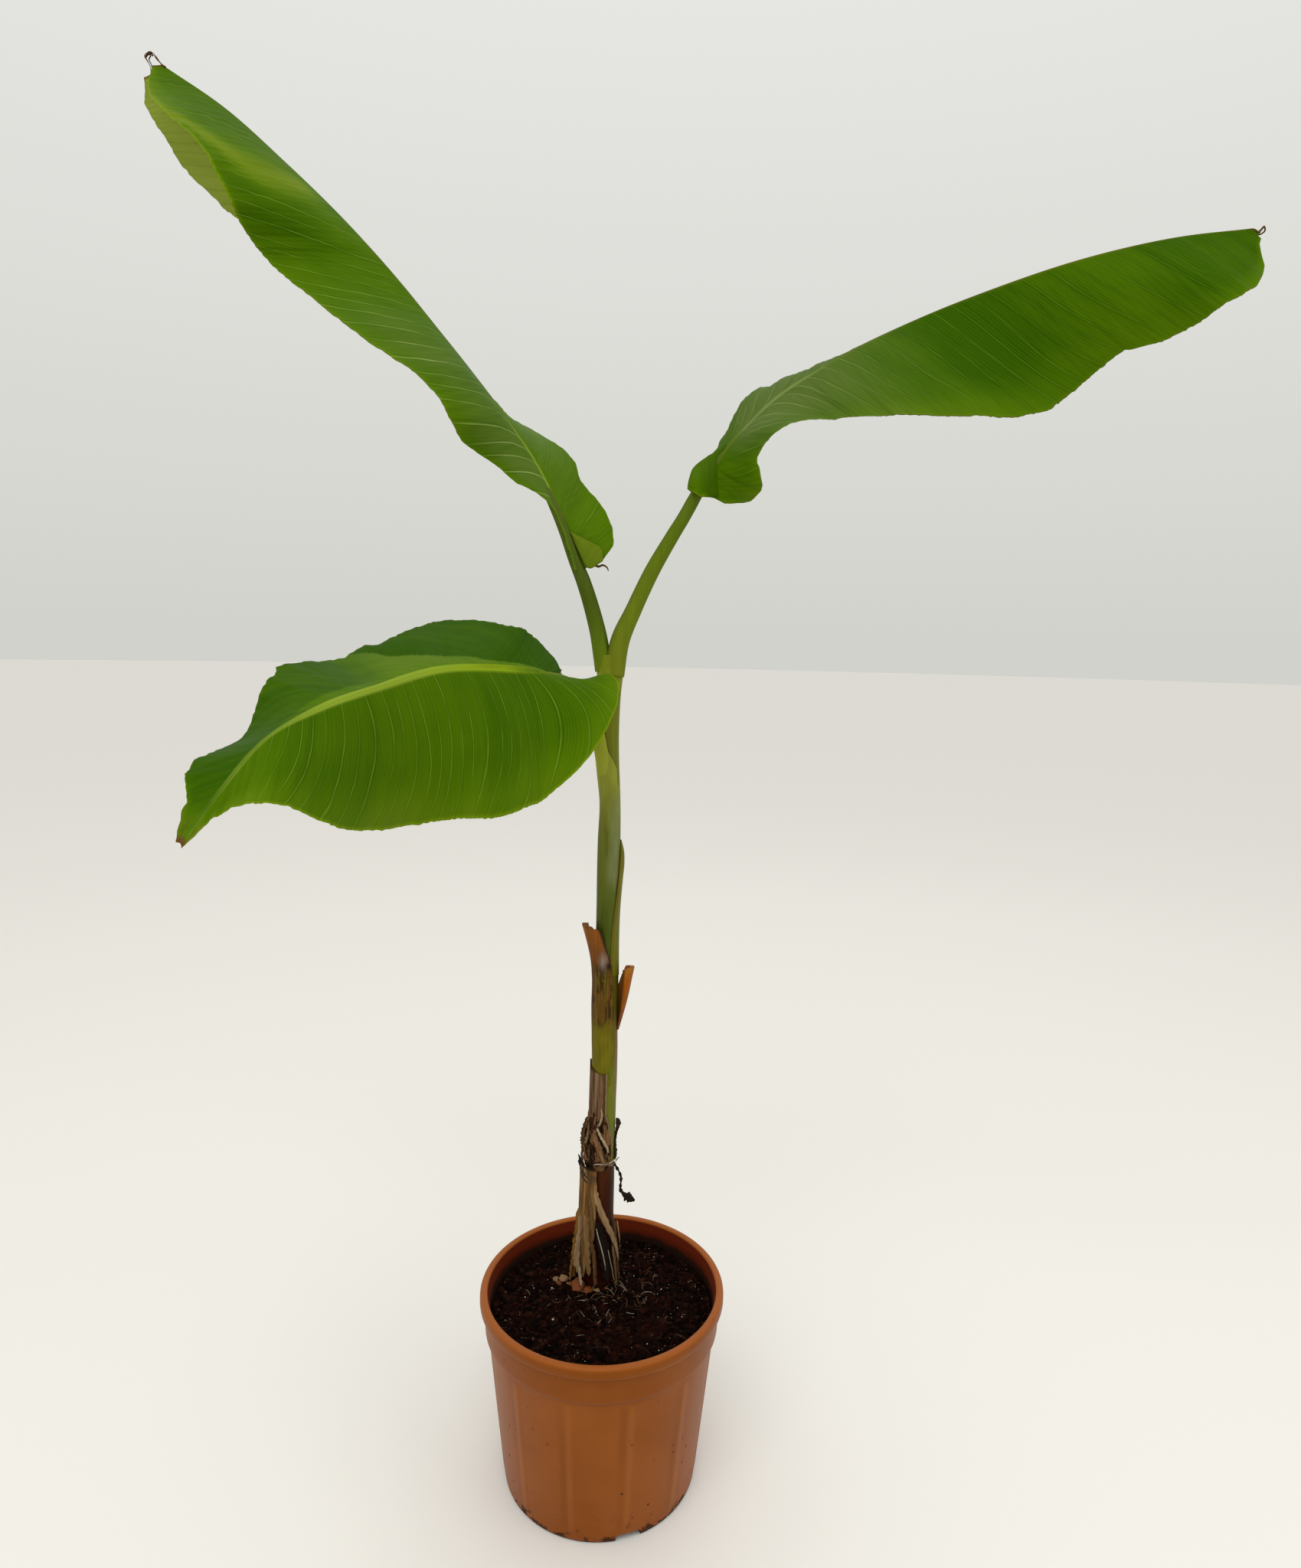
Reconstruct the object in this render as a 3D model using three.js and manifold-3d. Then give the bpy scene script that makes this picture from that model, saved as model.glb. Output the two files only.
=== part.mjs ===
// A young banana plant in a round plastic pot.
// Millimetres, +Z up. The origin is the centre of the pot's flat underside.
// +X is to the right and +Y to the back when the plant is looked at from its front.

import * as THREE from 'three';
import { mergeVertices } from 'three/addons/utils/BufferGeometryUtils.js';
import Module from 'manifold-3d';

const wasm = await Module();
wasm.setup();

// ---------------------------------------------------------------- dimensions

const GAP = 0.4;                 // clearance between touching pieces

const POT = {
  height: 245.1,                 // floor of the room to the top of the lip
  baseRadius: 118.9,
  wallTopRadius: 138.0,          // wall just under the collar
  collarBottom: 194.0,
  collarRadius: 142.6,
  lipBottom: 230.0,
  lipRadius: 149.1,
  mouthRadius: 139.5,
  wall: 2.5,
  floor: 4.0,
  segments: 48,
};
const DRAIN = { count: 3, first: -71, width: 33, height: 9, depth: 9 };

const SOIL = { wallLevel: 218, crown: 226, crownRadius: 62 };

// Pseudostem: height, centre x, centre y, half width, half depth.
const STEM = [
  [226.4, -8.0, 32.0, 23.0, 22.0],
  [250, -7.6, 29.0, 21.0, 20.5],
  [280, -7.0, 26.0, 20.0, 20.0],
  [337, -6.0, 20.0, 18.5, 18.5],
  [392, -4.5, 15.0, 17.0, 17.0],
  [454, -2.5, 10.0, 15.6, 15.6],
  [538, -0.7, 5.0, 15.2, 15.0],
  [606, -0.7, 2.5, 14.6, 14.4],
  [698, -0.3, 0.0, 13.4, 13.4],
  [799, 0.7, 0.0, 13.6, 13.0],
  [848, 1.0, 0.0, 12.6, 12.6],
  [888, -2.2, 0.0, 13.9, 13.0],
  [923, -4.0, 0.0, 14.7, 13.0],
  [962, -3.3, 0.0, 15.1, 12.5],
  [996, -0.7, 0.0, 15.6, 11.5],
  [1012, -1.0, 0.0, 17.0, 11.0],
];
const STEM_SIDES = 18;

// Petioles: x, y, z, radius. Each runs from inside the stem to its leaf's rib.
const PETIOLE_LEFT = [
  [-8.5, 2, 995, 9.6], [-10.5, 1, 1014, 10.2], [-15.5, 0, 1041, 9.6],
  [-25.3, -2, 1075.6, 8.8], [-35.6, -3.9, 1105.0, 8.2],
];
const PETIOLE_RIGHT = [
  [4, -1, 990, 11.0], [9.5, -1, 1029, 11.0], [24.4, -1, 1064.8, 9.6], [43.6, -0.5, 1106.3, 8.9],
  [64.9, 0, 1144, 7.9], [77.9, 0, 1165.7, 7.4], [90.6, 0, 1189.2, 7.3],
];
const PETIOLE_FRONT = [
  [-6, -6, 880, 7.6], [-9, -12, 905, 8.0], [-15, -22, 935, 8.0], [-25, -36, 962, 7.6], [-35.4, -49.2, 982.0, 7.2],
];
const PETIOLE_SIDES = 12;

// Leaves. Each row is one station on the midrib:
//   at (0 at the petiole, 1 at the tip), rib x, y, z,
//   then for each half-blade: vein length, fold, droop, sweep (degrees).
// fold is the half-blade's angle above the level at mid-width, droop is how much
// it bends from rib to margin, and sweep is how far its veins lean to the tip.
const LEAF_LEFT = [
  [0.000, -36, -4, 1106, 16, -28, 0, 3, 31, 109, 0, 8],
  [0.046, -45, -6, 1137, 13, -34, 1, -4, 53, 76, 1, 2],
  [0.097, -59, -8, 1171, 9, -42, -3, -8, 70, 37, -3, 13],
  [0.173, -84, -6, 1219, 40, -54, -23, 7, 99, 11, -22, 22],
  [0.267, -123, 0, 1273, 101, -20, -37, -3, 114, -12, -29, 27],
  [0.392, -178, 8, 1342, 132, -23, -38, 2, 100, -22, -31, 40],
  [0.522, -237, 16, 1412, 129, -44, -29, 23, 112, -46, -30, 46],
  [0.646, -298, 24, 1476, 143, -28, -27, 8, 147, -45, -27, 42],
  [0.767, -361, 30, 1534, 133, -21, -21, 2, 138, -48, -21, 34],
  [0.888, -426, 36, 1589, 93, -29, -11, 4, 95, -65, -11, 40],
  [1.000, -493, 40, 1632, 12, -50, 0, 24, 32, -66, 0, 39],
];
const LEAF_RIGHT = [
  [0.000, 91, 0, 1190, 14, -84, 0, 2, 24, 37, 0, 13],
  [0.028, 98, 0, 1211, 55, -77, 1, 14, 31, 30, 1, 18],
  [0.071, 115, -3, 1230, 71, -47, -3, 15, 41, 25, -5, 18],
  [0.126, 138, -6, 1255, 74, -31, -16, 12, 56, 31, -21, 17],
  [0.204, 171, -12, 1288, 86, -51, -23, 18, 96, 22, -28, 11],
  [0.299, 219, -22, 1319, 105, -54, -27, 11, 126, 11, -32, 7],
  [0.450, 299, -40, 1358, 148, -63, -28, 11, 139, -9, -31, 11],
  [0.606, 386, -58, 1390, 132, -95, -25, 24, 145, -22, -28, 20],
  [0.752, 469, -75, 1414, 113, -81, -20, 32, 128, -32, -22, 33],
  [0.891, 551, -90, 1429, 96, -59, -14, 23, 76, -41, -11, 44],
  [1.000, 616, -100, 1434, 28, -70, 0, 26, 12, -21, 0, 56],
];
const LEAF_FRONT = [
  [0.000, -36, -50, 983, 35, 24, -20, -14, 20, 24, 20, -22],
  [0.043, -48, -66, 990, 63, -8, -20, -22, 37, 22, 20, -42],
  [0.102, -64, -90, 995, 87, -31, -24, -22, 60, 26, 24, -66],
  [0.176, -85, -120, 999, 127, -66, -30, -6, 83, 42, 28, -52],
  [0.280, -113, -163, 1002, 147, -75, -36, -8, 103, 45, 30, -57],
  [0.406, -148, -215, 1001, 144, -81, -35, 0, 153, 17, 25, -43],
  [0.541, -184, -270, 988, 135, -95, -30, -1, 136, 3, 11, -31],
  [0.675, -218, -325, 972, 96, -73, -22, 29, 93, 9, 1, -14],
  [0.789, -245, -370, 951, 61, -37, -16, 56, 73, -18, 0, -10],
  [0.901, -263, -410, 917, 23, -42, -10, 67, 29, 18, 0, 13],
  [1.000, -281, -440, 882, 6, -65, 0, 54, 6, 24, 0, 8],
];
const SWEEP_GAIN = { LEAF_LEFT: 20, LEAF_RIGHT: 20, LEAF_FRONT: 15 };
const BLADE = { rows: 26, columns: 6, thickness: 2.6, ribDepth: 10.5, ribTipDepth: 1.5, ribHalfWidth: 6.5 };

// Sheaths and stubs wrap the stem: height, first and last angle (degrees, 0 to
// the right, 180 to the left, 270 to the front), clearance from the stem, thickness.
const STUB_LEFT = [
  [548, 165, 310, 0.6, 1.8], [580, 165, 308, 0.6, 2.0], [610, 165, 304, 0.7, 2.4], [635, 168, 298, 0.9, 2.8],
  [655, 170, 280, 2.2, 3.4], [672, 171, 256, 4.8, 4.2], [688, 172, 236, 8.5, 4.8], [700, 172, 222, 12.0, 5.0],
];
const STUB_RIGHT = [
  [565, -30, 75, 0.6, 1.8], [592, -34, 66, 3.0, 2.2], [618, -38, 52, 7.0, 3.2], [636, -42, 40, 9.6, 4.2], [649, -44, 30, 11.6, 5.0],
];
const SHEATH_FLAP = [
  [690, -45, 70, 0.5, 1.4], [740, -40, 60, 0.7, 1.4], [770, -30, 45, 1.5, 1.5], [786, -18, 26, 3.0, 1.6], [796, -8, 12, 2.6, 1.4],
];
const DRY_SHEATH_MID = [
  [408, 150, 300, 0.6, 1.4], [440, 150, 300, 0.8, 1.5], [470, 150, 295, 0.9, 1.5],
  [500, 155, 275, 0.9, 1.5], [520, 160, 250, 1.0, 1.5], [537, 168, 225, 1.4, 1.4],
];
const DRY_SHEATH_LOW = [
  [228, 140, 275, 3.5, 2.0], [260, 140, 270, 4.0, 1.8], [300, 145, 268, 4.6, 1.8],
  [340, 150, 265, 5.2, 1.7], [375, 155, 262, 6.4, 1.6], [403, 160, 258, 7.8, 1.5],
];
const SHRED = [
  [14.9, 8, 409, 1.5], [18.6, 6, 396, 1.6], [21.4, 5, 377, 1.7], [27, 4, 358, 1.8], [36, 4, 350, 2.2],
];

// ------------------------------------------------------------------ helpers

const rad = (d) => (d * Math.PI) / 180;
const V = (x, y, z) => new THREE.Vector3(x, y, z);

// Smooth interpolation of column c through unevenly spaced rows keyed by column 0.
function track(rows, c, key = 0) {
  const t = rows.map((r) => r[key]);
  const p = rows.map((r) => r[c]);
  const n = t.length;
  const m = p.map((_, i) => {
    if (i === 0) return (p[1] - p[0]) / (t[1] - t[0]);
    if (i === n - 1) return (p[n - 1] - p[n - 2]) / (t[n - 1] - t[n - 2]);
    const h0 = t[i] - t[i - 1];
    const h1 = t[i + 1] - t[i];
    return (((p[i] - p[i - 1]) / h0) * h1 + ((p[i + 1] - p[i]) / h1) * h0) / (h0 + h1);
  });
  return (x) => {
    const v = Math.min(Math.max(x, t[0]), t[n - 1]);
    let i = 0;
    while (i < n - 2 && v >= t[i + 1]) i += 1;
    const h = t[i + 1] - t[i];
    const s = (v - t[i]) / h;
    const s2 = s * s;
    const s3 = s2 * s;
    return p[i] * (2 * s3 - 3 * s2 + 1) + m[i] * h * (s3 - 2 * s2 + s)
      + p[i + 1] * (-2 * s3 + 3 * s2) + m[i + 1] * h * (s3 - s2);
  };
}

function indexed(points, triangles) {
  const g = new THREE.BufferGeometry();
  g.setAttribute('position', new THREE.Float32BufferAttribute(points.flatMap((p) => [p.x, p.y, p.z]), 3));
  g.setIndex(triangles.flat());
  return g;
}

// Closed solid from rings of equal point counts, each ring counter-clockwise
// about the direction in which the rings follow one another. A crescent ring
// runs along its outer side and back along its inner side.
function loft(rings, crescent = false) {
  const n = rings[0].length;
  const points = rings.flat();
  const tris = [];
  for (let i = 0; i + 1 < rings.length; i += 1) {
    for (let j = 0; j < n; j += 1) {
      const a = i * n + j;
      const b = i * n + ((j + 1) % n);
      tris.push([a, b, b + n], [a, b + n, a + n]);
    }
  }
  const last = (rings.length - 1) * n;
  if (crescent) {
    for (let j = 0; j + 1 < n / 2; j += 1) {
      const [a, b, c, d] = [j, j + 1, n - 2 - j, n - 1 - j];
      tris.push([a, c, b], [a, d, c], [last + a, last + b, last + c], [last + a, last + c, last + d]);
    }
    return indexed(points, tris);
  }
  const c0 = points.length;
  const c1 = c0 + 1;
  const mean = (ring) => ring.reduce((s, p) => s.add(p), V(0, 0, 0)).multiplyScalar(1 / n);
  points.push(mean(rings[0]), mean(rings[rings.length - 1]));
  for (let j = 0; j < n; j += 1) {
    const k = (j + 1) % n;
    tris.push([c0, k, j], [c1, last + j, last + k]);
  }
  return indexed(points, tris);
}

function toSolid(geometry) {
  const g = geometry.clone();
  g.deleteAttribute('normal');
  g.deleteAttribute('uv');
  const m = mergeVertices(g, 1e-4);
  return new wasm.Manifold(new wasm.Mesh({
    numProp: 3,
    vertProperties: new Float32Array(m.attributes.position.array),
    triVerts: new Uint32Array(m.index.array),
  }));
}

// The largest body of a solid, as a geometry.
function fromSolid(solid) {
  const parts = solid.decompose();
  const body = parts.reduce((a, b) => (b.volume() > a.volume() ? b : a));
  const mesh = body.getMesh();
  const g = new THREE.BufferGeometry();
  g.setAttribute('position', new THREE.Float32BufferAttribute(mesh.vertProperties, 3));
  g.setIndex(Array.from(mesh.triVerts));
  return g;
}

function cut(geometry, ...tools) {
  let s = toSolid(geometry);
  for (const tool of tools) s = s.subtract(toSolid(tool));
  return fromSolid(s);
}

// ------------------------------------------------------------------ pieces

function potGeometry() {
  const p = POT;
  const slope = (p.wallTopRadius - p.baseRadius) / p.collarBottom;
  const profile = [
    [0, 0], [p.baseRadius - 2.5, 0], [p.baseRadius, 2.5],
    [p.wallTopRadius, p.collarBottom], [p.collarRadius - 1.2, p.collarBottom + 1.6], [p.collarRadius, p.collarBottom + 5],
    [p.collarRadius + 1.2, p.lipBottom], [p.lipRadius - 1, p.lipBottom + 0.8], [p.lipRadius, p.lipBottom + 2.4],
    [p.lipRadius, p.height - 2.4], [p.lipRadius - 2, p.height], [p.mouthRadius + 2, p.height], [p.mouthRadius, p.height - 2.2],
    [innerRadius(p.lipBottom), p.lipBottom], [innerRadius(p.collarBottom), p.collarBottom],
    [p.baseRadius + slope * p.floor - p.wall, p.floor], [0, p.floor],
  ].map(([r, z]) => new THREE.Vector2(r, z));
  const g = new THREE.LatheGeometry(profile, p.segments);
  g.rotateX(Math.PI / 2);
  const notches = [];
  for (let i = 0; i < DRAIN.count; i += 1) {
    const b = new THREE.BoxGeometry(DRAIN.depth, DRAIN.width, DRAIN.height * 2);
    b.translate(p.baseRadius, 0, 0);
    b.rotateZ(rad(DRAIN.first + (360 / DRAIN.count) * i));
    notches.push(b);
  }
  return cut(g, ...notches);
}

function innerRadius(z) {
  const p = POT;
  const low = p.baseRadius - p.wall;
  const top = p.wallTopRadius - p.wall;
  if (z <= p.collarBottom) return low + ((top - low) * z) / p.collarBottom;
  if (z <= p.lipBottom) return top + (1.9 * (z - p.collarBottom)) / (p.lipBottom - p.collarBottom);
  return top + 1.9 + ((p.mouthRadius - top - 1.9) * (z - p.lipBottom)) / (p.height - p.lipBottom);
}

function soilGeometry() {
  const bottom = POT.floor + GAP;
  const profile = [
    [0, bottom], [innerRadius(bottom) - 1.2, bottom], [innerRadius(POT.collarBottom) - 0.9, POT.collarBottom],
    [innerRadius(SOIL.wallLevel) - 0.9, SOIL.wallLevel], [110, SOIL.wallLevel + 2], [86, SOIL.wallLevel + 5],
    [SOIL.crownRadius, SOIL.crown], [0, SOIL.crown],
  ].map(([r, z]) => new THREE.Vector2(r, z));
  const g = new THREE.LatheGeometry(profile, POT.segments);
  g.rotateX(Math.PI / 2);
  return g;
}

function stemAt(z) {
  return [1, 2, 3, 4].map((c) => track(STEM, c)(z));
}

function stemGeometry(grow = 0) {
  const rings = [];
  const zs = STEM.map((r) => r[0]);
  for (const z of zs) {
    const [x, y, a, b] = stemAt(z);
    const lift = z === zs[0] ? -grow : z === zs[zs.length - 1] ? grow : 0;
    const ring = [];
    for (let j = 0; j < STEM_SIDES; j += 1) {
      const t = (j / STEM_SIDES) * 2 * Math.PI;
      ring.push(V(x + (a + grow) * Math.cos(t), y + (b + grow) * Math.sin(t), z + lift));
    }
    rings.push(ring);
  }
  return loft(rings);
}

// A tapering limb along smooth stations x, y, z, radius.
function limb(stations, sides, grow = 0, perSpan = 2) {
  const rows = stations.map((s, i) => [i, ...s]);
  const f = [1, 2, 3, 4].map((c) => track(rows, c));
  const n = (stations.length - 1) * perSpan;
  const at = (u) => V(f[0](u), f[1](u), f[2](u));
  let side = V(0, 1, 0);
  const rings = [];
  for (let i = 0; i <= n; i += 1) {
    const u = i / perSpan;
    const tangent = at(u + 0.01).sub(at(u - 0.01)).normalize();
    side = side.sub(tangent.clone().multiplyScalar(side.dot(tangent))).normalize();
    const other = tangent.clone().cross(side);
    const centre = at(u);
    if (grow && i === 0) centre.addScaledVector(tangent, -grow);
    if (grow && i === n) centre.addScaledVector(tangent, grow);
    const r = f[3](u) + grow;
    const ring = [];
    for (let j = 0; j < sides; j += 1) {
      const t = (j / sides) * 2 * Math.PI;
      ring.push(centre.clone().addScaledVector(side, r * Math.cos(t)).addScaledVector(other, r * Math.sin(t)));
    }
    rings.push(ring);
  }
  return loft(rings);
}

// The two halves of one thin blade, grown as bent veins from the midrib. They
// part along the middle of the rib. The first is the one nearer the front.
// grow thickens the blade by that much on both faces.
function blade(rows, nearSign, sweepGain, grow = 0) {
  const f = rows[0].map((_, c) => track(rows, c));
  const at = (t) => V(f[1](t), f[2](t), f[3](t));
  const steps = BLADE.columns * 2;
  const grid = [];
  for (let i = 0; i <= BLADE.rows; i += 1) {
    const s = i / BLADE.rows;
    const t = s < 0.25 ? s * (0.55 + 1.8 * s) : s;          // closer rows in the lobes at the foot
    const e = 1e-3;
    const T = at(Math.min(t + e, 1)).sub(at(Math.max(t - e, 0))).normalize();
    const U = V(0, 0, 1).addScaledVector(T, -T.z).normalize();
    const S = T.clone().cross(U);
    const halves = [8, 4].map((c, h) => {
      const sign = h === 1 ? nearSign : -nearSign;
      const length = Math.max(f[c](t), 5);
      const fold = f[c + 1](t);
      const droop = f[c + 2](t);
      const sweep = f[c + 3](t);
      const points = [];
      const p = at(t);
      for (let k = 0; k < steps; k += 1) {
        const q = (k + 0.5) / steps - 0.5;
        const a = rad(fold + droop * q);
        const b = rad(sweep + sweepGain * q);
        p.addScaledVector(S, (Math.cos(b) * Math.cos(a) * sign * length) / steps);
        p.addScaledVector(U, (Math.cos(b) * Math.sin(a) * length) / steps);
        p.addScaledVector(T, (Math.sin(b) * length) / steps);
        if (k % 2 === 1) points.push({ p: p.clone(), d: (length * (k + 1)) / steps, t });
      }
      return points;
    });
    grid.push([...halves[0].reverse(), { p: at(t), d: 0, t }, ...halves[1]]);
  }
  const nr = grid.length;
  const all = grid[0].length;
  const middle = (all - 1) / 2;
  const top = [];
  const bottom = [];
  const across = [];
  for (let i = 0; i < nr; i += 1) {
    for (let j = 0; j < all; j += 1) {
      const along = grid[Math.min(i + 1, nr - 1)][j].p.clone().sub(grid[Math.max(i - 1, 0)][j].p);
      const side = grid[i][Math.min(j + 1, all - 1)].p.clone().sub(grid[i][Math.max(j - 1, 0)].p);
      const normal = along.cross(side).normalize().multiplyScalar(-nearSign);
      const { p, d, t } = grid[i][j];
      const rib = (BLADE.ribDepth + (BLADE.ribTipDepth - BLADE.ribDepth) * Math.sqrt(t)) * Math.exp(-((d / BLADE.ribHalfWidth) ** 2));
      top.push(p.clone().addScaledVector(normal, BLADE.thickness / 2 + grow));
      bottom.push(p.clone().addScaledVector(normal, -BLADE.thickness / 2 - rib - grow));
      across.push(side.normalize());
    }
  }
  const apart0 = grow ? GAP / 4 : GAP / 2;
  return [[middle, all - 1, apart0], [0, middle, -GAP / 2]].map(([first, end, apart]) => {
    const nc = end - first + 1;
    const pick = (list) => {
      const out = [];
      for (let i = 0; i < nr; i += 1) {
        for (let j = first; j <= end; j += 1) {
          const k = i * all + j;
          out.push(j === middle ? list[k].clone().addScaledVector(across[k], apart) : list[k]);
        }
      }
      return out;
    };
    return closedPlate(pick(top), pick(bottom), nr, nc, nearSign > 0);
  });
}

// A closed plate between two grids of nr rows and nc columns.
function closedPlate(top, bottom, nr, nc, reversed) {
  const points = [...top, ...bottom];
  const shift = top.length;
  const tris = [];
  const quad = (a, b, c, d) => tris.push([a, b, c], [a, c, d]);
  for (let i = 0; i + 1 < nr; i += 1) {
    for (let j = 0; j + 1 < nc; j += 1) {
      const a = i * nc + j;
      quad(a, a + nc, a + nc + 1, a + 1);
      quad(a + shift, a + 1 + shift, a + nc + 1 + shift, a + nc + shift);
    }
    const l = i * nc;
    const r = i * nc + nc - 1;
    quad(l, l + shift, l + nc + shift, l + nc);
    quad(r, r + nc, r + nc + shift, r + shift);
  }
  for (let j = 0; j + 1 < nc; j += 1) {
    const e = (nr - 1) * nc + j;
    quad(j, j + 1, j + 1 + shift, j + shift);
    quad(e, e + shift, e + 1 + shift, e + 1);
  }
  if (reversed) tris.forEach((t) => t.reverse());
  return indexed(points, tris);
}

// A curved plate round part of the stem.
function sheath(rows, across = 6) {
  const rings = rows.map(([z, a0, a1, clear, thick]) => {
    const [x, y, rx, ry] = stemAt(z);
    const inner = [];
    const outer = [];
    for (let j = 0; j <= across; j += 1) {
      const a = rad(a0 + ((a1 - a0) * j) / across);
      const edge = Math.abs(j / across - 0.5) > 0.49 ? 0.35 : 1;
      const place = (d) => V(x + (rx + d) * Math.cos(a), y + (ry + d) * Math.sin(a), z);
      inner.push(place(clear));
      outer.push(place(clear + thick * edge));
    }
    return [...outer, ...inner.reverse()];
  });
  return loft(rings, true);
}

// ----------------------------------------------------------------- assembly

const material = (color, roughness) => new THREE.MeshStandardMaterial({ color, roughness, metalness: 0 });
const terracotta = material(0xc0622f, 0.45);
const peat = material(0x2a1a14, 0.95);
const stemGreen = material(0x7f8a4a, 0.55);
const petioleGreen = material(0x6f8a1e, 0.5);
const leafGreen = material(0x3f7a12, 0.45);
const brown = material(0x8a4a20, 0.7);
const straw = material(0xa88a5c, 0.8);

const plant = new THREE.Group();
function add(name, geometry, mat) {
  geometry.computeVertexNormals();
  const mesh = new THREE.Mesh(geometry, mat.clone());
  mesh.name = name;
  plant.add(mesh);
}

const stemGrown = stemGeometry(GAP);
const rightTube = limb(PETIOLE_RIGHT, PETIOLE_SIDES);
const rightGrown = limb(PETIOLE_RIGHT, PETIOLE_SIDES, GAP);
const leftGrown = limb(PETIOLE_LEFT, PETIOLE_SIDES, GAP);
const frontGrown = limb(PETIOLE_FRONT, PETIOLE_SIDES, GAP);

add('pot', potGeometry(), terracotta);
add('soil', soilGeometry(), peat);
add('pseudostem', stemGeometry(), stemGreen);
add('petiole_right', cut(rightTube, stemGrown), petioleGreen);
add('petiole_left', cut(limb(PETIOLE_LEFT, PETIOLE_SIDES), stemGrown, rightGrown), petioleGreen);
add('petiole_front', cut(limb(PETIOLE_FRONT, PETIOLE_SIDES), stemGrown), petioleGreen);
const leftBlade = blade(LEAF_LEFT, -1, SWEEP_GAIN.LEAF_LEFT);
const leftNear = blade(LEAF_LEFT, -1, SWEEP_GAIN.LEAF_LEFT, GAP)[0];
const rightBlade = blade(LEAF_RIGHT, 1, SWEEP_GAIN.LEAF_RIGHT);
const frontBlade = blade(LEAF_FRONT, -1, SWEEP_GAIN.LEAF_FRONT);
const frontNear = blade(LEAF_FRONT, -1, SWEEP_GAIN.LEAF_FRONT, GAP)[0];
add('leaf_left_front_half', cut(leftBlade[0], leftGrown), leafGreen);
add('leaf_left_back_half', cut(leftBlade[1], leftGrown, leftNear, leftBlade[0]), leafGreen);
add('leaf_right_front_half', cut(rightBlade[0], rightGrown), leafGreen);
add('leaf_right_back_half', cut(rightBlade[1], rightGrown), leafGreen);
add('leaf_front_lower_half', cut(frontBlade[0], frontGrown, stemGrown), leafGreen);
add('leaf_front_upper_half', cut(frontBlade[1], frontGrown, stemGrown, frontNear, frontBlade[0]), leafGreen);
add('stub_left', sheath(STUB_LEFT), brown);
add('stub_right', sheath(STUB_RIGHT), brown);
add('sheath_flap', sheath(SHEATH_FLAP), stemGreen);
add('dry_sheath_mid', sheath(DRY_SHEATH_MID), straw);
add('dry_sheath_low', sheath(DRY_SHEATH_LOW), straw);
add('dry_shred', limb(SHRED, 6, 0, 1), straw);

export default plant;
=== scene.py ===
"""A young banana plant in a round plastic pot, built as fine meshes round the plain frame.

Metres, +Z up, the origin at the centre of the pot's flat underside, +X to the right and
+Y to the back. The tables below are in millimetres and are scaled once, by MM.
"""

import math
import random

import bmesh
import bpy
import numpy as np
from mathutils import Matrix, Vector


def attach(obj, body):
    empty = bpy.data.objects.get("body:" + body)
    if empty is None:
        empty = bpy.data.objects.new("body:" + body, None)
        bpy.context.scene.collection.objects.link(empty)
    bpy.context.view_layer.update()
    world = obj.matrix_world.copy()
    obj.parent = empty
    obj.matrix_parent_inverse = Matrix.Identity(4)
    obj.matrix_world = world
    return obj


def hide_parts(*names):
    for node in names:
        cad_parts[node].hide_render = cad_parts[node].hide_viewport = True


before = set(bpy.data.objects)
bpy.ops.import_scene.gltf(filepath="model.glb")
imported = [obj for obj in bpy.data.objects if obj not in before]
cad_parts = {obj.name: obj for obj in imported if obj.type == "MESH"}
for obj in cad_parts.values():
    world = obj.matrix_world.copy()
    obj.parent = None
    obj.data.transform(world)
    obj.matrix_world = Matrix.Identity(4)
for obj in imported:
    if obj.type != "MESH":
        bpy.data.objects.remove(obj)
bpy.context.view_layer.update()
MM = 0.001
SEED = 20261126
scene = bpy.context.scene

# ------------------------------------------------------------------ camera

PITCH, ROLL = 0.1428, 0.0200
cam_data = bpy.data.cameras.new("camera")
cam_data.sensor_width = 36.0
cam_data.lens = 22.617
cam_data.clip_start, cam_data.clip_end = 0.01, 200.0
cam = bpy.data.objects.new("camera", cam_data)
scene.collection.objects.link(cam)
forward = Vector((0.0, math.cos(PITCH), -math.sin(PITCH)))
right0 = Vector((1.0, 0.0, 0.0))
up0 = right0.cross(forward)
right = right0 * math.cos(ROLL) + up0 * math.sin(ROLL)
up = -right0 * math.sin(ROLL) + up0 * math.cos(ROLL)
turn = Matrix((right, up, -forward)).transposed()
cam.matrix_world = Matrix.Translation((0.0471, -1.1168, 1.028)) @ turn.to_4x4()
scene.camera = cam

# ------------------------------------------------------------- plain helpers


def track(rows, c, key=0):
    """Smooth interpolation of column c through unevenly spaced rows keyed by column key."""
    t = np.array([r[key] for r in rows], float)
    p = np.array([r[c] for r in rows], float)
    n = len(t)
    m = np.zeros(n)
    m[0] = (p[1] - p[0]) / (t[1] - t[0])
    m[-1] = (p[-1] - p[-2]) / (t[-1] - t[-2])
    for i in range(1, n - 1):
        h0, h1 = t[i] - t[i - 1], t[i + 1] - t[i]
        m[i] = ((p[i] - p[i - 1]) / h0 * h1 + (p[i + 1] - p[i]) / h1 * h0) / (h0 + h1)

    def at(x):
        x = np.clip(np.asarray(x, float), t[0], t[-1])
        i = np.clip(np.searchsorted(t, x, side="right") - 1, 0, n - 2)
        h = t[i + 1] - t[i]
        s = (x - t[i]) / h
        s2, s3 = s * s, s * s * s
        return (
            p[i] * (2 * s3 - 3 * s2 + 1)
            + m[i] * h * (s3 - 2 * s2 + s)
            + p[i + 1] * (-2 * s3 + 3 * s2)
            + m[i + 1] * h * (s3 - s2)
        )

    return at


def unit(a):
    return a / np.maximum(np.linalg.norm(a, axis=-1, keepdims=True), 1e-12)


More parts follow.
